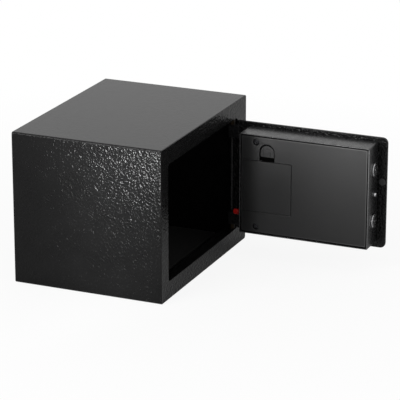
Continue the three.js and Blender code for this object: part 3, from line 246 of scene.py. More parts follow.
def cover_plastic(cover, hatch):
    """Grained black plastic: painted shade as a dark seam and a painted highlight as a paler line round its
    edge, and painted shade, dull and dark, in the recesses
    """
    low, high = cover
    hatch_low, hatch_high = hatch
    gap_width, fade = 0.8 * MM, 0.2 * MM
    highlight_start, highlight_end, highlight_strength = 1.0 * MM, 1.8 * MM, 0.8
    recess_depth, recess_fade = 2.6 * MM, 0.6 * MM
    latch_height, hatch_margin, hatch_fade = 19.2 * MM, 0.8 * MM, 0.3 * MM
    fine_grain, wear_grain, patch_grain = 0.35 * MM, 5 * MM, 18 * MM
    fine_depth, roughness, recess_roughness = 0.03 * MM, (0.3, 0.38), 0.95
    darker, lighter = grey(0.008, 0.0082), grey(0.011, 0.0112)
    edge_highlight_grey, shade_grey = grey(0.11, 0.111), grey(0.004)
    made = material("cover_black", specular=0.36)
    tree = made.node_tree
    where = place(tree)
    shade(tree, "Normal", relief(tree, noise(tree, where, fine_grain), fine_depth))
    patch = noise(tree, where, patch_grain, detail=3.0)
    plain = blend(tree, patch, darker, lighter)
    inward = within(tree, (low.y, low.z), (high.y, high.z))
    # Painted highlight: a paler line just inside the edge, where the light catches the cover's rounded
    # edge, stronger toward the free side and the top
    past_start = spread(tree, inward, (highlight_start, highlight_start + fade), (0, 1))
    before_end = spread(tree, inward, (highlight_end, highlight_end + fade), (highlight_strength, 0))
    line = maths(tree, "MULTIPLY", past_start, before_end)
    line = maths(tree, "MULTIPLY", line, rubbing(tree, low, high))
    highlighted = blend(tree, line, plain, edge_highlight_grey)
    # Painted shade: the recess floors, apart from the battery door below its latch, and a band along the
    # cover's edge are painted near black
    floor_x = low.x + recess_depth
    sunk = spread(tree, axis(tree, X), (floor_x - recess_fade, floor_x), (0, 1))
    in_hatch = within(tree, (hatch_low.y, hatch_low.z), (hatch_high.y, hatch_high.z - latch_height))
    off_hatch = spread(tree, in_hatch, (-hatch_margin - hatch_fade, -hatch_margin), (1, 0))
    gap_shade = spread(tree, inward, (gap_width, gap_width + fade), (1, 0))
    painted_shade = maths(tree, "MAXIMUM", maths(tree, "MULTIPLY", sunk, off_hatch), gap_shade)
    shade(tree, "Base Color", blend(tree, painted_shade, highlighted, shade_grey))
    wear = spread(tree, noise(tree, where, wear_grain, detail=4.0), NOISE_BAND, roughness)
    dull = maths(tree, "MULTIPLY", painted_shade, recess_roughness)
    shade(tree, "Roughness", maths(tree, "MAXIMUM", wear, dull))
    # Painted shade: metallic where the shade is painted, so the near-black colour also darkens the
    # reflection there
    shade(tree, "Metallic", painted_shade)
    return made


def moulded_plastic(name, dark, light, roughness, grain=0.35 * MM, depth=0.03 * MM):
    """Moulded plastic with a fine spark-eroded grain"""
    patch_grain, wear_grain = 18 * MM, 5 * MM
    smoother, rougher = 0.05, 0.07
    made = material(name, specular=0.35)
    tree = made.node_tree
    where = place(tree)
    shade(tree, "Normal", relief(tree, noise(tree, where, grain), depth))
    shade(tree, "Base Color", blend(tree, noise(tree, where, patch_grain, detail=3.0), dark, light))
    wear = noise(tree, where, wear_grain, detail=4.0)
    shade(tree, "Roughness", spread(tree, wear, NOISE_BAND, (roughness - smoother, roughness + rougher)))
    return made


def rubber():
    """Matt black rubber with a coarse nap"""
    nap_grain, nap_depth, roughness = 0.5 * MM, 0.12 * MM, (0.7, 0.9)
    made = material("black_rubber_finish", specular=0.25)
    tree = made.node_tree
    nap = noise(tree, place(tree), nap_grain, detail=3.0, roughness=0.7)
    shade(tree, "Normal", relief(tree, nap, nap_depth))
    shade(tree, "Base Color", blend(tree, nap, grey(0.008), grey(0.022)))
    shade(tree, "Roughness", spread(tree, nap, NOISE_BAND, roughness))
    return made


def ink(name, colour):
    """Pad-printed ink, slightly uneven"""
    print_grain, faded_share, roughness = 0.25 * MM, 0.86, (0.5, 0.65)
    made = material(name)
    tree = made.node_tree
    grain = noise(tree, place(tree), print_grain, detail=3.0)
    faded = tuple(channel * faded_share for channel in colour[:3]) + (1,)
    shade(tree, "Base Color", blend(tree, grain, faded, colour))
    shade(tree, "Roughness", spread(tree, grain, NOISE_BAND, roughness))
    return made


# Bare and plated metal


def metal(name, dark, light, roughness, stretch=(1, 1, 1), depth=0.01 * MM):
    """Plated or turned metal with a fine grain, stretched where it was turned, and patches of tarnish"""
    line_grain, patch_grain = 0.4 * MM, 4 * MM
    smoother, rougher = 0.75, 1.3
    made = material(name, metallic=1.0)
    tree = made.node_tree
    lines = noise(tree, place(tree, stretch), line_grain, detail=3.0)
    patch = noise(tree, place(tree), patch_grain, detail=3.0)
    shade(tree, "Normal", relief(tree, lines, depth))
    shade(tree, "Base Color", blend(tree, patch, dark, light))
    shade(tree, "Roughness", spread(tree, lines, NOISE_BAND, (roughness * smoother, roughness * rougher)))
    return made


# Board, cells and lights


def circuit_board():
    """Green board with paler tracks and pads, from stepped noise"""
    track_spacing, copper_grain, copper_depth = 3.2 * MM, 6 * MM, 0.03 * MM
    track_edge, copper_edge = (0.42, 0.45), (0.5, 0.52)
    lacquer, over_copper, roughness = (0.01, 0.07, 0.025, 1), (0.03, 0.15, 0.05, 1), (0.4, 0.3)
    made = material("board_green")
    tree = made.node_tree
    where = place(tree)
    track = cells(tree, where, track_spacing, "F1", randomness=0.0)
    edge = spread(tree, track, track_edge, (0, 1))
    etched = spread(tree, noise(tree, where, copper_grain), copper_edge, (0, 1))
    copper = maths(tree, "MULTIPLY", edge, etched)
    shade(tree, "Base Color", blend(tree, copper, lacquer, over_copper))
    shade(tree, "Normal", relief(tree, copper, copper_depth))
    shade(tree, "Roughness", spread(tree, copper, (0, 1), roughness))
    return made


def cell_jacket(top):
    """Printed battery jacket: dark sleeve with a copper-coloured band below the positive end"""
    band_height, band_edge = 13 * MM, 0.2 * MM
    wear_grain, seam_grain, seam_depth, along_sleeve = 1.5 * MM, 0.8 * MM, 0.02 * MM, (1, 1, 0.05)
    sleeve, copper, roughness = grey(0.012, 0.014), (0.42, 0.2, 0.07, 1), (0.26, 0.36)
    made = material("cell_sleeve", coat=0.4, coat_roughness=0.15)
    tree = made.node_tree
    band_foot = top - band_height
    band = spread(tree, axis(tree, Z), (band_foot, band_foot + band_edge), (0, 1))
    shade(tree, "Base Color", blend(tree, band, sleeve, copper))
    wear = noise(tree, place(tree), wear_grain, detail=3.0)
    shade(tree, "Roughness", spread(tree, wear, NOISE_BAND, roughness))
    seam = noise(tree, place(tree, along_sleeve), seam_grain)
    shade(tree, "Normal", relief(tree, seam, seam_depth))
    return made


def light_pipe(lights):
    """Clear light pipe tinted red, amber and green along the panel"""
    red_end, green_end = lights[0].y, lights[1].y
    red, amber, green = (0.32, 0.012, 0.01, 1), (0.5, 0.2, 0.01, 1), (0.02, 0.28, 0.04, 1)
    soft, wear_grain, roughness = 0.02, 1 * MM, (0.08, 0.16)
    made = material("light_tints", coat=0.5, coat_roughness=0.05)
    tree = made.node_tree
    along = axis(tree, Y)
    third = (green_end - red_end) / 3
    past_red, past_amber = (
        spread(tree, along, (red_end + third * (count - soft), red_end + third * (count + soft)), (0, 1))
        for count in (1, 2)
    )
    warm = blend(tree, past_red, red, amber)
    shade(tree, "Base Color", blend(tree, past_amber, warm, green))
    shade(tree, "Roughness", spread(tree, noise(tree, place(tree), wear_grain), NOISE_BAND, roughness))
    return made


# The finishes

PAINT = hammered_paint("hammered_black", depth=0.56 * MM)
PLATE = hammered_paint("hammered_door", depth=1.1 * MM)
CASE = satin_paint(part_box("lock_case"))
COVER = cover_plastic(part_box("rear_cover"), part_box("battery_door"))
PANEL = moulded_plastic("panel_black", grey(0.012), grey(0.02), roughness=0.33)
SILVER = moulded_plastic(
    "silver_paint", grey(0.4, 0.41), grey(0.48, 0.49), roughness=0.34, grain=0.2 * MM, depth=0.008 * MM)
RED = moulded_plastic(
    "red_gloss", (0.4, 0.008, 0.006, 1), (0.52, 0.014, 0.01, 1), roughness=0.25, grain=0.6 * MM,
    depth=0.006 * MM)
PALE = moulded_plastic(
    "pale_keys", (0.5, 0.51, 0.5, 1), (0.58, 0.59, 0.58, 1), roughness=0.4, grain=0.25 * MM,
    depth=0.01 * MM)
FELT = moulded_plastic(
    "buffer_grey", grey(0.03, 0.031), grey(0.05, 0.051), roughness=0.8, grain=0.3 * MM, depth=0.1 * MM)
RUBBER = rubber()
INK = ink("legend_ink", grey(0.03, 0.035))
ZINC = metal("zinc_plate", (0.5, 0.51, 0.52, 1), (0.66, 0.67, 0.68, 1), roughness=0.36)
CHROME = metal(
    "chrome_plate", grey(0.5, 0.51), grey(0.6, 0.61), roughness=0.2, stretch=(1, 6, 1), depth=0.003 * MM)
BLACK_SCREW = metal("blackened_steel", grey(0.02, 0.022), grey(0.045, 0.048), roughness=0.4)
DARK_BRONZE = metal("oiled_bronze", (0.012, 0.009, 0.006, 1), (0.022, 0.016, 0.01, 1), roughness=0.5)
NICKEL = metal("cell_ends", grey(0.55, 0.56), grey(0.7, 0.71), roughness=0.25)
BRASS = metal("brass_turned", (0.58, 0.38, 0.14, 1), (0.7, 0.48, 0.2, 1), roughness=0.28)
BOARD = circuit_board()
JACKET = cell_jacket(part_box("battery_1")[1].z)
TINTS = light_pipe(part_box("status_lights"))

# By the record's slots
FINISHES = {
    "hammered_paint": PAINT, "satin_paint": CASE, "cover_plastic": COVER, "black_rubber": RUBBER,
    "zinc_steel": ZINC, "bright_chrome": CHROME, "brass_bush": BRASS, "silver_plastic": SILVER,
    "red_plastic": RED, "pale_plastic": PALE, "circuit_board": BOARD, "cell_jacket": JACKET,
    "light_pipe": TINTS,
}
# Nodes that need another finish than their slot's
OWN_FINISH = {
    "door_plate": PLATE, "front_panel": PANEL,
    "upper_cover_screw": BLACK_SCREW, "lower_cover_screw": BLACK_SCREW,
    "upper_hinge_lug": CASE, "lower_hinge_lug": CASE,
    "upper_hinge_bush": DARK_BRONZE, "lower_hinge_bush": DARK_BRONZE,
}

# Edges of the nodes that stay, in millimetres

EDGE_RADIUS = {
    "cabinet_shell": 0.7, "back_panel": 0.4, "door_stop": 0.5, "floor_mat": 0.4, "door_plate": 0.7,
    "lock_case": 0.5, "rear_cover": 0.4, "battery_door": 0.15, "front_panel": 0.5, "bolt_guide": 0.25,
    "bolt_carriage": 0.25, "upper_hinge_lug": 0.4, "lower_hinge_lug": 0.4, "keyhole_cap": 0.4,
}
PLAIN_EDGE = 0.2
WELD_REACH = 0.002 * MM
EDGE_SEGMENTS = 3
BEVEL_FROM = math.radians(32)


def round_edges(piece, radius):
    """Joins the imported triangles and rounds the edges between flat faces"""
    weld = piece.modifiers.new("join", "WELD")
    weld.merge_threshold = WELD_REACH
    bevel = piece.modifiers.new("edges", "BEVEL")
    bevel.width = radius
    bevel.segments = EDGE_SEGMENTS
    bevel.limit_method = "ANGLE"
    bevel.angle_limit = BEVEL_FROM
    bevel.use_clamp_overlap = piece.name not in EDGE_RADIUS
    bevel.harden_normals = False
    even = piece.modifiers.new("shading", "WEIGHTED_NORMAL")
    even.keep_sharp = False
    for face in piece.data.polygons:
        face.use_smooth = True


for name, piece in nodes.items():
    for slot in piece.material_slots:
        slot.material = FINISHES.get(slot.material.name.split(".")[0], PAINT)
    round_edges(piece, EDGE_RADIUS.get(name, PLAIN_EDGE) * MM)
for name, finish in OWN_FINISH.items():
    nodes[name].material_slots[0].material = finish

# Mesh builders for the detailed pieces

RING_POINTS = 64
# Flutes: how many, how deep, and the radius beyond which they are cut
NO_FLUTES = (0, 0, math.inf)
SEAM_REACH = 0.001 * MM


def add_piece(name, mesh, finish):
    """Links a mesh as a smooth-shaded piece"""
    for face in mesh.polygons:
        face.use_smooth = True
    mesh.materials.append(finish)
    piece = bpy.data.objects.new(name, mesh)
    bpy.context.scene.collection.objects.link(piece)
    even = piece.modifiers.new("shading", "WEIGHTED_NORMAL")
    even.keep_sharp = True
    return piece


def stand_for(node, piece):
    """The piece takes a CAD node's place, on that node's body"""
    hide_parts(node)
    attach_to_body(piece, nodes[node]["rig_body"])
    return piece


def attach(piece, parent):
    """The piece rides with the one that carries it"""
    piece.parent = parent


def middle(name, which):
    """The middle of a node's box along one axis"""
    low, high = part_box(name)
    return (low[which] + high[which]) / 2


def skin(name, finish, rings, endless=False):
    """A piece skinned over rings of points: a ring of one point is a tip, an endless run has no ends"""
    shape = bmesh.new()
    hoops = [[shape.verts.new(point) for point in ring] for ring in rings]
    for near, far in zip(hoops, hoops[1:]):
        count = max(len(near), len(far))
        for step in range(count):
            after = (step + 1) % count
            if len(near) == 1:
                shape.faces.new((near[0], far[after], far[step]))
            elif len(far) == 1:
                shape.faces.new((near[step], near[after], far[0]))
            else:
                shape.faces.new((near[step], near[after], far[after], far[step]))
    if endless:
        bmesh.ops.remove_doubles(shape, verts=shape.verts, dist=SEAM_REACH)
    else:
        for hoop in (hoops[0], hoops[-1]):
            if len(hoop) > 1:
                shape.faces.new(hoop)
    bmesh.ops.recalc_face_normals(shape, faces=shape.faces)
    mesh = bpy.data.meshes.new(name)
    shape.to_mesh(mesh)
    shape.free()
    return add_piece(name, mesh, finish)


def frame_along(direction):
    """Three axes at right angles, the last one the given direction"""
    ahead = Vector(direction)
    side = Vector(PLUS_X) if ahead.z else Vector(UP)
    across = side.cross(ahead).normalized()
    return across, ahead.cross(across), ahead


def lathe(name, finish, origin, direction, profile, points=RING_POINTS, flutes=NO_FLUTES):
    """A turned piece: (distance along, radius) stations round an axis, with flutes beyond a radius"""
    flute_count, flute_depth, fluted_from = flutes
    across, up, ahead = frame_along(direction)
    rings = []
    for along, radius in profile:
        centre = Vector(origin) + ahead * along
        if radius == 0:
            rings.append([centre])
            continue
        depth = flute_depth if radius > fluted_from else 0
        ring = []
        for step in range(points):
            turn = 2 * math.pi * step / points
            reach = radius - depth * (0.5 + 0.5 * math.cos(flute_count * turn))
            ring.append(centre + (across * math.cos(turn) + up * math.sin(turn)) * reach)
        rings.append(ring)
    return skin(name, finish, rings, endless=profile[0] == profile[-1])


def loft(name, finish, origin, stations, steps=5):
    """Rounded rectangles stacked along +X: (distance, width along Y, height along Z, corner radius)"""
    rings = []
    for along, width, height, radius in stations:
        ring = []
        for turn_y, turn_z, first in ((1, 1, 0), (-1, 1, 1), (-1, -1, 2), (1, -1, 3)):
            for step in range(steps + 1):
                turn = math.pi / 2 * (first + step / steps)
                y = turn_y * (width / 2 - radius) + radius * math.cos(turn)
                z = turn_z * (height / 2 - radius) + radius * math.sin(turn)
                ring.append(Vector(origin) + Vector((along, y, z)))
        rings.append(ring)
    return skin(name, finish, rings)


def stepped(radius, steps, top=None):
    """Stations from steps in millimetres: distance along, or below a top, and distance inside the radius"""
    if top is None:
        return [(along * MM, radius - inset * MM) for along, inset in steps]
    return [(top - below * MM, radius - inset * MM) for below, inset in steps]


def corner(along, radius, depth, steps=4):
    """Stations of a rounded outer corner that ends at the given distance"""
    stations = []
    for step in range(steps + 1):
        turn = math.pi / 2 * step / steps
        stations.append((along - depth + depth * math.sin(turn), radius - depth + depth * math.cos(turn)))
    return stations


def dome(along, radius, depth, steps=6):
    """Stations of a domed end that closes at the given distance"""
    stations = []
    for step in range(steps):
        turn = math.pi / 2 * step / steps
        stations.append((along - depth * (1 - math.sin(turn)), radius * math.cos(turn)))
    return stations + [(along, 0)]


# Bolts

# In millimetres: distance along, and inset
BOLT_HEEL = ((0, 0.6), (0.6, 0))
BOLT_NOSE = 0.4 * MM
CENTRE_MOUTH, CENTRE_TIP, CENTRE_DEPTH = 0.9 * MM, 0.3 * MM, 0.5 * MM


def bolt(name):
    """Chromed round bolt with a rounded nose and a turning centre in its end"""
    low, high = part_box(name)
    radius = (high.x - low.x) / 2
    length = high.y - low.y
    origin = (middle(name, X), high.y, middle(name, Z))
    profile = stepped(radius, BOLT_HEEL) + corner(length, radius, BOLT_NOSE)
    profile += [(length, CENTRE_MOUTH), (length - CENTRE_DEPTH, CENTRE_TIP), (length - CENTRE_DEPTH, 0)]
    stand_for(name, lathe(name + "_bar", CHROME, origin, MINUS_Y, profile))


for name in ("upper_bolt", "lower_bolt"):
    bolt(name)

# Keys with their legends

KEY_FLANGE = 1.0 * MM
KEY_BORDER = 1.0 * MM
KEY_TAPER = 0.5 * MM
KEY_RIM = 0.35 * MM
FLANGE_CORNER = 0.5 * MM
CAP_CORNER = 2 * MM
LEGEND_SIZE = 6.4 * MM
LEGEND_RISE = 0.06 * MM
LEGEND_BELOW_FACE = 0.08 * MM
LEGEND_CURVE_STEPS = 3
STAR_ENLARGED = 1.5
LEGENDS = {f"key_{digit}": str(digit) for digit in range(10)}
LEGENDS.update({"key_clear": "*", "key_enter": "#"})

# The rounded rim: depth below the face and inset, both in rims, and the corner radius in millimetres
RIM_STEPS = ((2, 0, 1.9), (0.6, 0.6, 1.8), (0.12, 1.7, 1.6), (0, 3.2, 1.3))
# The dish inside the rim: depth in millimetres, share of the cap, and the corner radius in millimetres
DISH_STEPS = ((0.08, 0.62, 1.1), (0.13, 0.3, 0.6))


def legend(name, text, parent, face):
    """Raised ink: flat letters that stand on the face of a key"""
    curve = bpy.data.curves.new(name, "FONT")
    curve.body = text
    curve.size = LEGEND_SIZE * (STAR_ENLARGED if text == "*" else 1)
    curve.align_x = "CENTER"
    curve.align_y = "CENTER"
    curve.extrude = LEGEND_RISE
    curve.resolution_u = LEGEND_CURVE_STEPS
    flat = bpy.data.objects.new(name, curve)
    bpy.context.scene.collection.objects.link(flat)
    mesh = bpy.data.meshes.new_from_object(flat)
    bpy.data.objects.remove(flat)
    centre = []
    for which in (X, Y):
        places = [vertex.co[which] for vertex in mesh.vertices]
        centre.append((min(places) + max(places)) / 2)
    to_middle = Matrix.Translation((-centre[X], -centre[Y], 0))
    upright = Matrix(((0, 0, 1, 0), (1, 0, 0, 0), (0, 1, 0, 0), (0, 0, 0, 1)))
    mesh.transform(Matrix.Translation(face) @ upright @ to_middle)
    mesh.materials.clear()
    mesh.materials.append(INK)
    letters = bpy.data.objects.new(name, mesh)
    bpy.context.scene.collection.objects.link(letters)
    attach(letters, parent)


def key(name, text):
    """Moulded key: flange behind the panel, tapered cap with a dished face"""
    low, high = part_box(name)
    depth, wide, tall = high - low
    cap_wide, cap_tall = wide - KEY_BORDER * 2, tall - KEY_BORDER * 2
    stations = [
        (0, wide, tall, FLANGE_CORNER),
        (KEY_FLANGE, wide, tall, FLANGE_CORNER),
        (KEY_FLANGE, cap_wide, cap_tall, CAP_CORNER),
    ]
    for sunk, inset, radius in RIM_STEPS:
        trim = KEY_TAPER + KEY_RIM * inset
        stations.append((depth - KEY_RIM * sunk, cap_wide - trim, cap_tall - trim, radius * MM))
    for sunk, share, radius in DISH_STEPS:
        stations.append((depth - sunk * MM, cap_wide * share, cap_tall * share, radius * MM))
    origin = (low.x, middle(name, Y), middle(name, Z))
    cap = stand_for(name, loft(name + "_cap", PALE, origin, stations))
    legend(name + "_legend", text, cap, (high.x - LEGEND_BELOW_FACE, *origin[1:]))


for name, text in LEGENDS.items():
    key(name, text)

# Knob: fluted skirt, crowned grip bar, pointer line

# The skirt's side: distance along and inset, in millimetres
SKIRT_STEPS = ((0, 1.2), (0, 0.3), (0.3, 0), (2.2, 0), (2.9, 0.7), (3.1, 1.6), (3.4, 2.6))
# The skirt's top: share of the knob's depth, and inset in millimetres
SKIRT_TOP_STEPS = ((0.44, 4.1), (0.48, 4.8), (0.5, 6), (0.47, 9))
SKIRT_MIDDLE_SHARE = 0.46
SKIRT_POINTS = 160
FLUTE_COUNT = 40
FLUTE_DEPTH = 0.5 * MM
GRIP_FOOT = 3 * MM
GRIP_WIDTH = 9 * MM
GRIP_END_ROOM = 3.5 * MM
GRIP_CORNER = 4.2 * MM
GRIP_CORNER_STEPS = 8
SHOULDER_SHARE = 0.55
SHOULDER_INSET = 0.8 * MM
SHOULDER_CORNER = 3.9 * MM
# The grip's crown in millimetres: depth below the top, width lost, length lost, corner radius
GRIP_CROWN = ((1.6, 1.8, 2, 3.3), (0.8, 2.3, 2.6, 3), (0.2, 3.4, 4, 2.4), (0.05, 4.6, 6, 1.9))
POINTER_WIDTH = 1.3 * MM
POINTER_LENGTH_SHARE = 0.34
POINTER_PLACE_SHARE = 0.24
# The pointer in millimetres: depth below the top, width and length lost, corner radius
POINTER_STEPS = ((0.4, 0, 0.6), (0.03, 0, 0.6), (0, 0.2, 0.5))


def knob():
    """Silver knob in three pieces, the grip and the pointer carried by the skirt"""
    low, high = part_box("knob")
    depth = high.x - low.x
    radius = (high.z - low.z) / 2
    centre = (low.x, middle("knob", Y), middle("knob", Z))
    side = stepped(radius, SKIRT_STEPS)
    top = [(depth * share, radius - inset * MM) for share, inset in SKIRT_TOP_STEPS]
    skirt = side + top + [(depth * SKIRT_MIDDLE_SHARE, 0)]
    flutes = (FLUTE_COUNT, FLUTE_DEPTH, radius - FLUTE_DEPTH)
    base = lathe("knob_base", SILVER, centre, PLUS_X, skirt, SKIRT_POINTS, flutes)
    stand_for("knob", base)

    length = (radius - GRIP_END_ROOM) * 2
    grip = [
        (GRIP_FOOT, GRIP_WIDTH, length, GRIP_CORNER),
        (depth * SHOULDER_SHARE, GRIP_WIDTH - SHOULDER_INSET, length - SHOULDER_INSET, SHOULDER_CORNER),
    ]
    for sunk, narrower, shorter, rounding in GRIP_CROWN:
        grip.append((depth - sunk * MM, GRIP_WIDTH - narrower * MM, length - shorter * MM, rounding * MM))
    attach(loft("knob_grip", SILVER, centre, grip, GRIP_CORNER_STEPS), base)

    pointer = []
    for sunk, smaller, rounding in POINTER_STEPS:
        tall = length * POINTER_LENGTH_SHARE - smaller * MM
        pointer.append((depth - sunk * MM, POINTER_WIDTH - smaller * MM, tall, rounding * MM))
    spot = (centre[X], centre[Y], centre[Z] + length * POINTER_PLACE_SHARE)
    attach(loft("knob_pointer", INK, spot, pointer), base)


knob()

# Battery cells: jacket with rolled shoulders, plated ends

CELL_COUNT = 4
NUB_RADIUS = 2.75 * MM
NUB_RISE = 1.2 * MM
NUB_CORNER = 0.5 * MM
NUB_ROOT = 0.5 * MM
NUB_ROOT_DROP = 0.1 * MM
JACKET_CORNER = 0.7 * MM
SLEEVE_POINTS = 48
SMALL_POINTS = 40
# In millimetres: height above the cell's foot, or depth below its shoulder, and inset
JACKET_FOOT = ((0.15, 1.4), (0.15, 0.9), (0.4, 0.25), (0.9, 0))
JACKET_LIP = ((0, 1.8), (0.3, 2))
PLUS_DISC = ((0.5, 1.9), (0.15, 1.9))
MINUS_DISC = ((0.6, 1.2), (0.2, 1.2), (0, 1.6))


def cell(name):
    """AA cell: printed sleeve that carries the plated plus and minus ends"""
    low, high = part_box(name)
    radius = (high.x - low.x) / 2
    length = high.z - low.z
    shoulder = length - NUB_RISE
    origin = (middle(name, X), middle(name, Y), low.z)
    jacket = stepped(radius, JACKET_FOOT) + corner(shoulder, radius, JACKET_CORNER)
    jacket += stepped(radius, JACKET_LIP, top=shoulder)
    sleeve = lathe(name + "_sleeve", JACKET, origin, UP, jacket, SLEEVE_POINTS)
    stand_for(name, sleeve)
    plus = stepped(radius, PLUS_DISC, top=shoulder)
    plus += [(shoulder - NUB_ROOT_DROP, NUB_RADIUS + NUB_ROOT), (shoulder, NUB_RADIUS)]
    plus += corner(length, NUB_RADIUS, NUB_CORNER) + [(length, 0)]
    attach(lathe(name + "_plus", NICKEL, origin, UP, plus, SMALL_POINTS), sleeve)
    minus = stepped(radius, MINUS_DISC) + [(0, 0)]
    attach(lathe(name + "_minus", NICKEL, origin, UP, minus, SMALL_POINTS), sleeve)


for number in range(1, CELL_COUNT + 1):
    cell(f"battery_{number}")

# Reset button with its collar

STEM_RADIUS = 1.5 * MM
STEM_SHARE = 0.45
BUTTON_EDGE = 0.3 * MM
BUTTON_DOME = 2 * MM
COLLAR_EDGE = 0.2 * MM
COLLAR_CORNER = 0.6 * MM


def reset_button():
    """Red domed button on a thin stem"""
    low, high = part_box("reset_button")
    radius = (high.z - low.z) / 2
    length = high.y - low.y
    cap_start = length * STEM_SHARE
    button = [
        (0, 0), (0, STEM_RADIUS - BUTTON_EDGE), (BUTTON_EDGE, STEM_RADIUS), (cap_start, STEM_RADIUS),
        (cap_start, radius - BUTTON_EDGE), (cap_start + BUTTON_EDGE, radius),
    ]
    button += dome(length, radius, BUTTON_DOME)
    origin = (middle("reset_button", X), low.y, middle("reset_button", Z))
    stand_for("reset_button", lathe("reset_cap", RED, origin, PLUS_Y, button, SMALL_POINTS))


def reset_collar():
    """Rounded collar that the button's stem runs through"""
    low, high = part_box("reset_bush")
    radius = (high.z - low.z) / 2
    depth = high.y - low.y
    bore = STEM_RADIUS + COLLAR_EDGE
    collar = [(0, bore), (0, radius - COLLAR_EDGE), (COLLAR_EDGE, radius)]
    collar += corner(depth, radius, COLLAR_CORNER)
    collar += [(depth, bore + COLLAR_EDGE), (depth - COLLAR_EDGE, bore), (0, bore)]
    origin = (middle("reset_bush", X), low.y, middle("reset_bush", Z))
    stand_for("reset_bush", lathe("reset_collar", COVER, origin, PLUS_Y, collar, SMALL_POINTS))


reset_button()
reset_collar()

# Bead on the back of the door plate, between the hinge lugs

BEAD_RADIUS = 2 * MM
BEAD_CORNER = 0.8 * MM
BEAD_END_ROOM = 1 * MM
BEAD_SIDE_ROOM = 0.2 * MM
# In millimetres: distance along, and inset
BEAD_FOOT = ((0, 0.8), (0.2, 0.4), (0.8, 0))


def hinge_bead():
    """Thin painted bead that rides on the door"""
    low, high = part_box("door_plate")
    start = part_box("lower_hinge_lug")[1].z + BEAD_END_ROOM
    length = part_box("upper_hinge_lug")[0].z - BEAD_END_ROOM - start
    origin = (low.x, high.y - BEAD_RADIUS - BEAD_SIDE_ROOM, start)
    bead = stepped(BEAD_RADIUS, BEAD_FOOT) + corner(length, BEAD_RADIUS, BEAD_CORNER)
    piece = lathe("hinge_bead", CASE, origin, UP, bead, SMALL_POINTS)
    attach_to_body(piece, nodes["door_plate"]["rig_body"])


hinge_bead()

# Door buffer

PAD_POINTS = 48
# In millimetres: distance along, and inset
PAD_FOOT = ((0, 0.3), (0.1, 0))
# Share of the pad's depth, and inset in millimetres
PAD_SIDE = ((0.45, 0.15), (0.8, 0.9))
# Shares of the pad's depth and of its radius
PAD_TIP = (0.97, 0.5)


def door_buffer():
    """Grey pad that rounds off toward its tip"""
    low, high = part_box("door_buffer")
    radius = (high.z - low.z) / 2
    depth = high.x - low.x
    pad = stepped(radius, PAD_FOOT)
    pad += [(depth * share, radius - inset * MM) for share, inset in PAD_SIDE]
    pad += [(depth * PAD_TIP[0], radius * PAD_TIP[1]), (depth, 0)]
    origin = (high.x, middle("door_buffer", Y), middle("door_buffer", Z))
    stand_for("door_buffer", lathe("buffer_pad", FELT, origin, MINUS_X, pad, PAD_POINTS))


door_buffer()

# Camera, fitted to the photograph: metres, millimetres for the sensor, pixels for the focal length

EYE = Vector((-2.162448, -1.012866, 0.869353))
AHEAD = Vector((0.870528, 0.375599, -0.317973)).normalized()
ACROSS = Vector((0.39633, -0.91811, 0.00055)).normalized()
SENSOR = 36
PHOTO_WIDTH = 400
FOCAL_PIXELS = 2308.05
NEAREST, FARTHEST = 0.05, 60

camera_data = bpy.data.cameras.new("camera")
camera_data.sensor_fit = "HORIZONTAL"
camera_data.sensor_width = SENSOR
camera_data.lens = FOCAL_PIXELS / PHOTO_WIDTH * SENSOR
camera_data.clip_start = NEAREST
camera_data.clip_end = FARTHEST
camera = bpy.data.objects.new("camera", camera_data)
turned = Matrix((ACROSS, ACROSS.cross(AHEAD), -AHEAD)).transposed().to_4x4()
camera.matrix_world = Matrix.Translation(EYE) @ turned
bpy.context.scene.collection.objects.link(camera)
bpy.context.scene.camera = camera

# Floor and world

FLOOR_HALF = 14
FLOOR_DROP = 0.05 * MM
FLOOR_COLOUR = grey(0.86)
FLOOR_ROUGHNESS = 0.9
WHITE = (1, 1, 1, 1)
WORLD_LIGHT = 0.38


def camera_ray(tree):
    """1 for rays from the camera"""
    return add(tree, "ShaderNodeLightPath").outputs["Is Camera Ray"]


def mirrored_ray(tree):
    """1 for rays from a mirror or glass"""
    path = add(tree, "ShaderNodeLightPath").outputs
    return maths(tree, "MAXIMUM", path["Is Glossy Ray"], path["Is Transmission Ray"])


def pale_floor():
    """Pale floor that keeps the shadow and fades into the white background"""
    fade_seen, least_seen = (0.2, 0.7), 0.9
    fade_mirrored, least_mirrored = (0.6, 2.0), 0.1
    made = material("floor_pale", specular=0.0)
    tree = made.node_tree
    surface = tree.nodes["Principled BSDF"]
    surface.inputs["Base Color"].default_value = FLOOR_COLOUR
    surface.inputs["Roughness"].default_value = FLOOR_ROUGHNESS
    glow = add(tree, "ShaderNodeEmission", None, {"Color": WHITE, "Strength": 1.0})
    away = add(tree, "ShaderNodeVectorMath", {"operation": "LENGTH"}, {0: place(tree)}).outputs["Value"]
    seen = maths(tree, "MULTIPLY", spread(tree, away, fade_seen, (least_seen, 1)), camera_ray(tree))
    dimmed = spread(tree, away, fade_mirrored, (least_mirrored, 1))
    share = maths(tree, "MAXIMUM", seen, maths(tree, "MULTIPLY", dimmed, mirrored_ray(tree)))
    mixed = add(tree, "ShaderNodeMixShader", None, {0: share, 1: surface.outputs[0], 2: glow.outputs[0]})
    tree.links.new(mixed.outputs[0], tree.nodes["Material Output"].inputs["Surface"])
    return made


floor_mesh = bpy.data.meshes.new("floor")
corners = [(x * FLOOR_HALF, y * FLOOR_HALF, -FLOOR_DROP) for x, y in ((-1, -1), (1, -1), (1, 1), (-1, 1))]
floor_mesh.from_pydata(corners, [], [(0, 1, 2, 3)])
floor_mesh.materials.append(pale_floor())
floor = bpy.data.objects.new("floor", floor_mesh)
bpy.context.scene.collection.objects.link(floor)

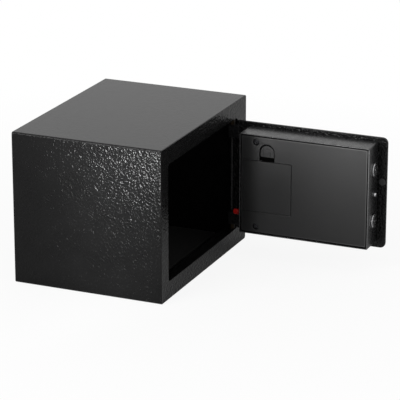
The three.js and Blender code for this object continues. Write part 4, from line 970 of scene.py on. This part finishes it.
world = bpy.data.worlds.new("studio")
bpy.context.scene.world = world
world.use_nodes = True
world_tree = world.node_tree
background = world_tree.nodes["Background"].inputs
background["Color"].default_value = WHITE
shown = maths(world_tree, "MAXIMUM", camera_ray(world_tree), mirrored_ray(world_tree))
world_tree.links.new(spread(world_tree, shown, (0, 1), (WORLD_LIGHT, 1)), background["Strength"])

# Lamps: three soft disks, and spots for the places that the photograph shows brighter

SPOT_BLEND = 1.0
VIEW_MIDDLE = (0, -0.08, 0.08)
# Name, place, watts, width in metres
DISKS = (
    ("key", (-1.15, 0.5, 1.05), 13, 0.8),
    ("overhead", (0.1, -0.2, 2.0), 4, 1.0),
    ("front", (-0.9, -1.2, 0.5), 1.2, 0.6),
)
# Name, place, target, watts, cone in degrees, lamp radius in metres
SPOTS = (
    ("wing", (-0.53, -0.075, 0.03), (0.07, -0.275, 0.132), 3.0, 31, 0.06),
    ("grid", (-0.555, 0.02, 0.1), (0.045, -0.046, 0.186), 14.5, 25, 0.035),
    ("low_grid", (-0.555, 0.02, 0.1), (0.045, -0.043, 0.025), 9, 22, 0.035),
    ("edge", (-0.555, -0.05, 0.2), (0.0865, -0.215, 0.165), 7, 15, 0.03),
)


def hang(name, kind, spot, target, power, **settings):
    """Adds a lamp that points at a target and isn't seen itself"""
    lamp_data = bpy.data.lights.new(name, kind)
    lamp_data.energy = power
    for setting, value in settings.items():
        setattr(lamp_data, setting, value)
    lamp = bpy.data.objects.new(name, lamp_data)
    lamp.location = spot
    lamp.rotation_mode = "QUATERNION"
    lamp.rotation_quaternion = (Vector(target) - lamp.location).to_track_quat("-Z", "Y")
    lamp.visible_camera = False
    bpy.context.scene.collection.objects.link(lamp)


for name, spot, power, width in DISKS:
    hang(name, "AREA", spot, VIEW_MIDDLE, power, shape="DISK", size=width)
for name, spot, target, power, cone, radius in SPOTS:
    hang(name, "SPOT", spot, target, power,
         spot_size=math.radians(cone), spot_blend=SPOT_BLEND, shadow_soft_size=radius)

bpy.context.scene.view_settings.view_transform = "Standard"

bpy.context.view_layer.update()
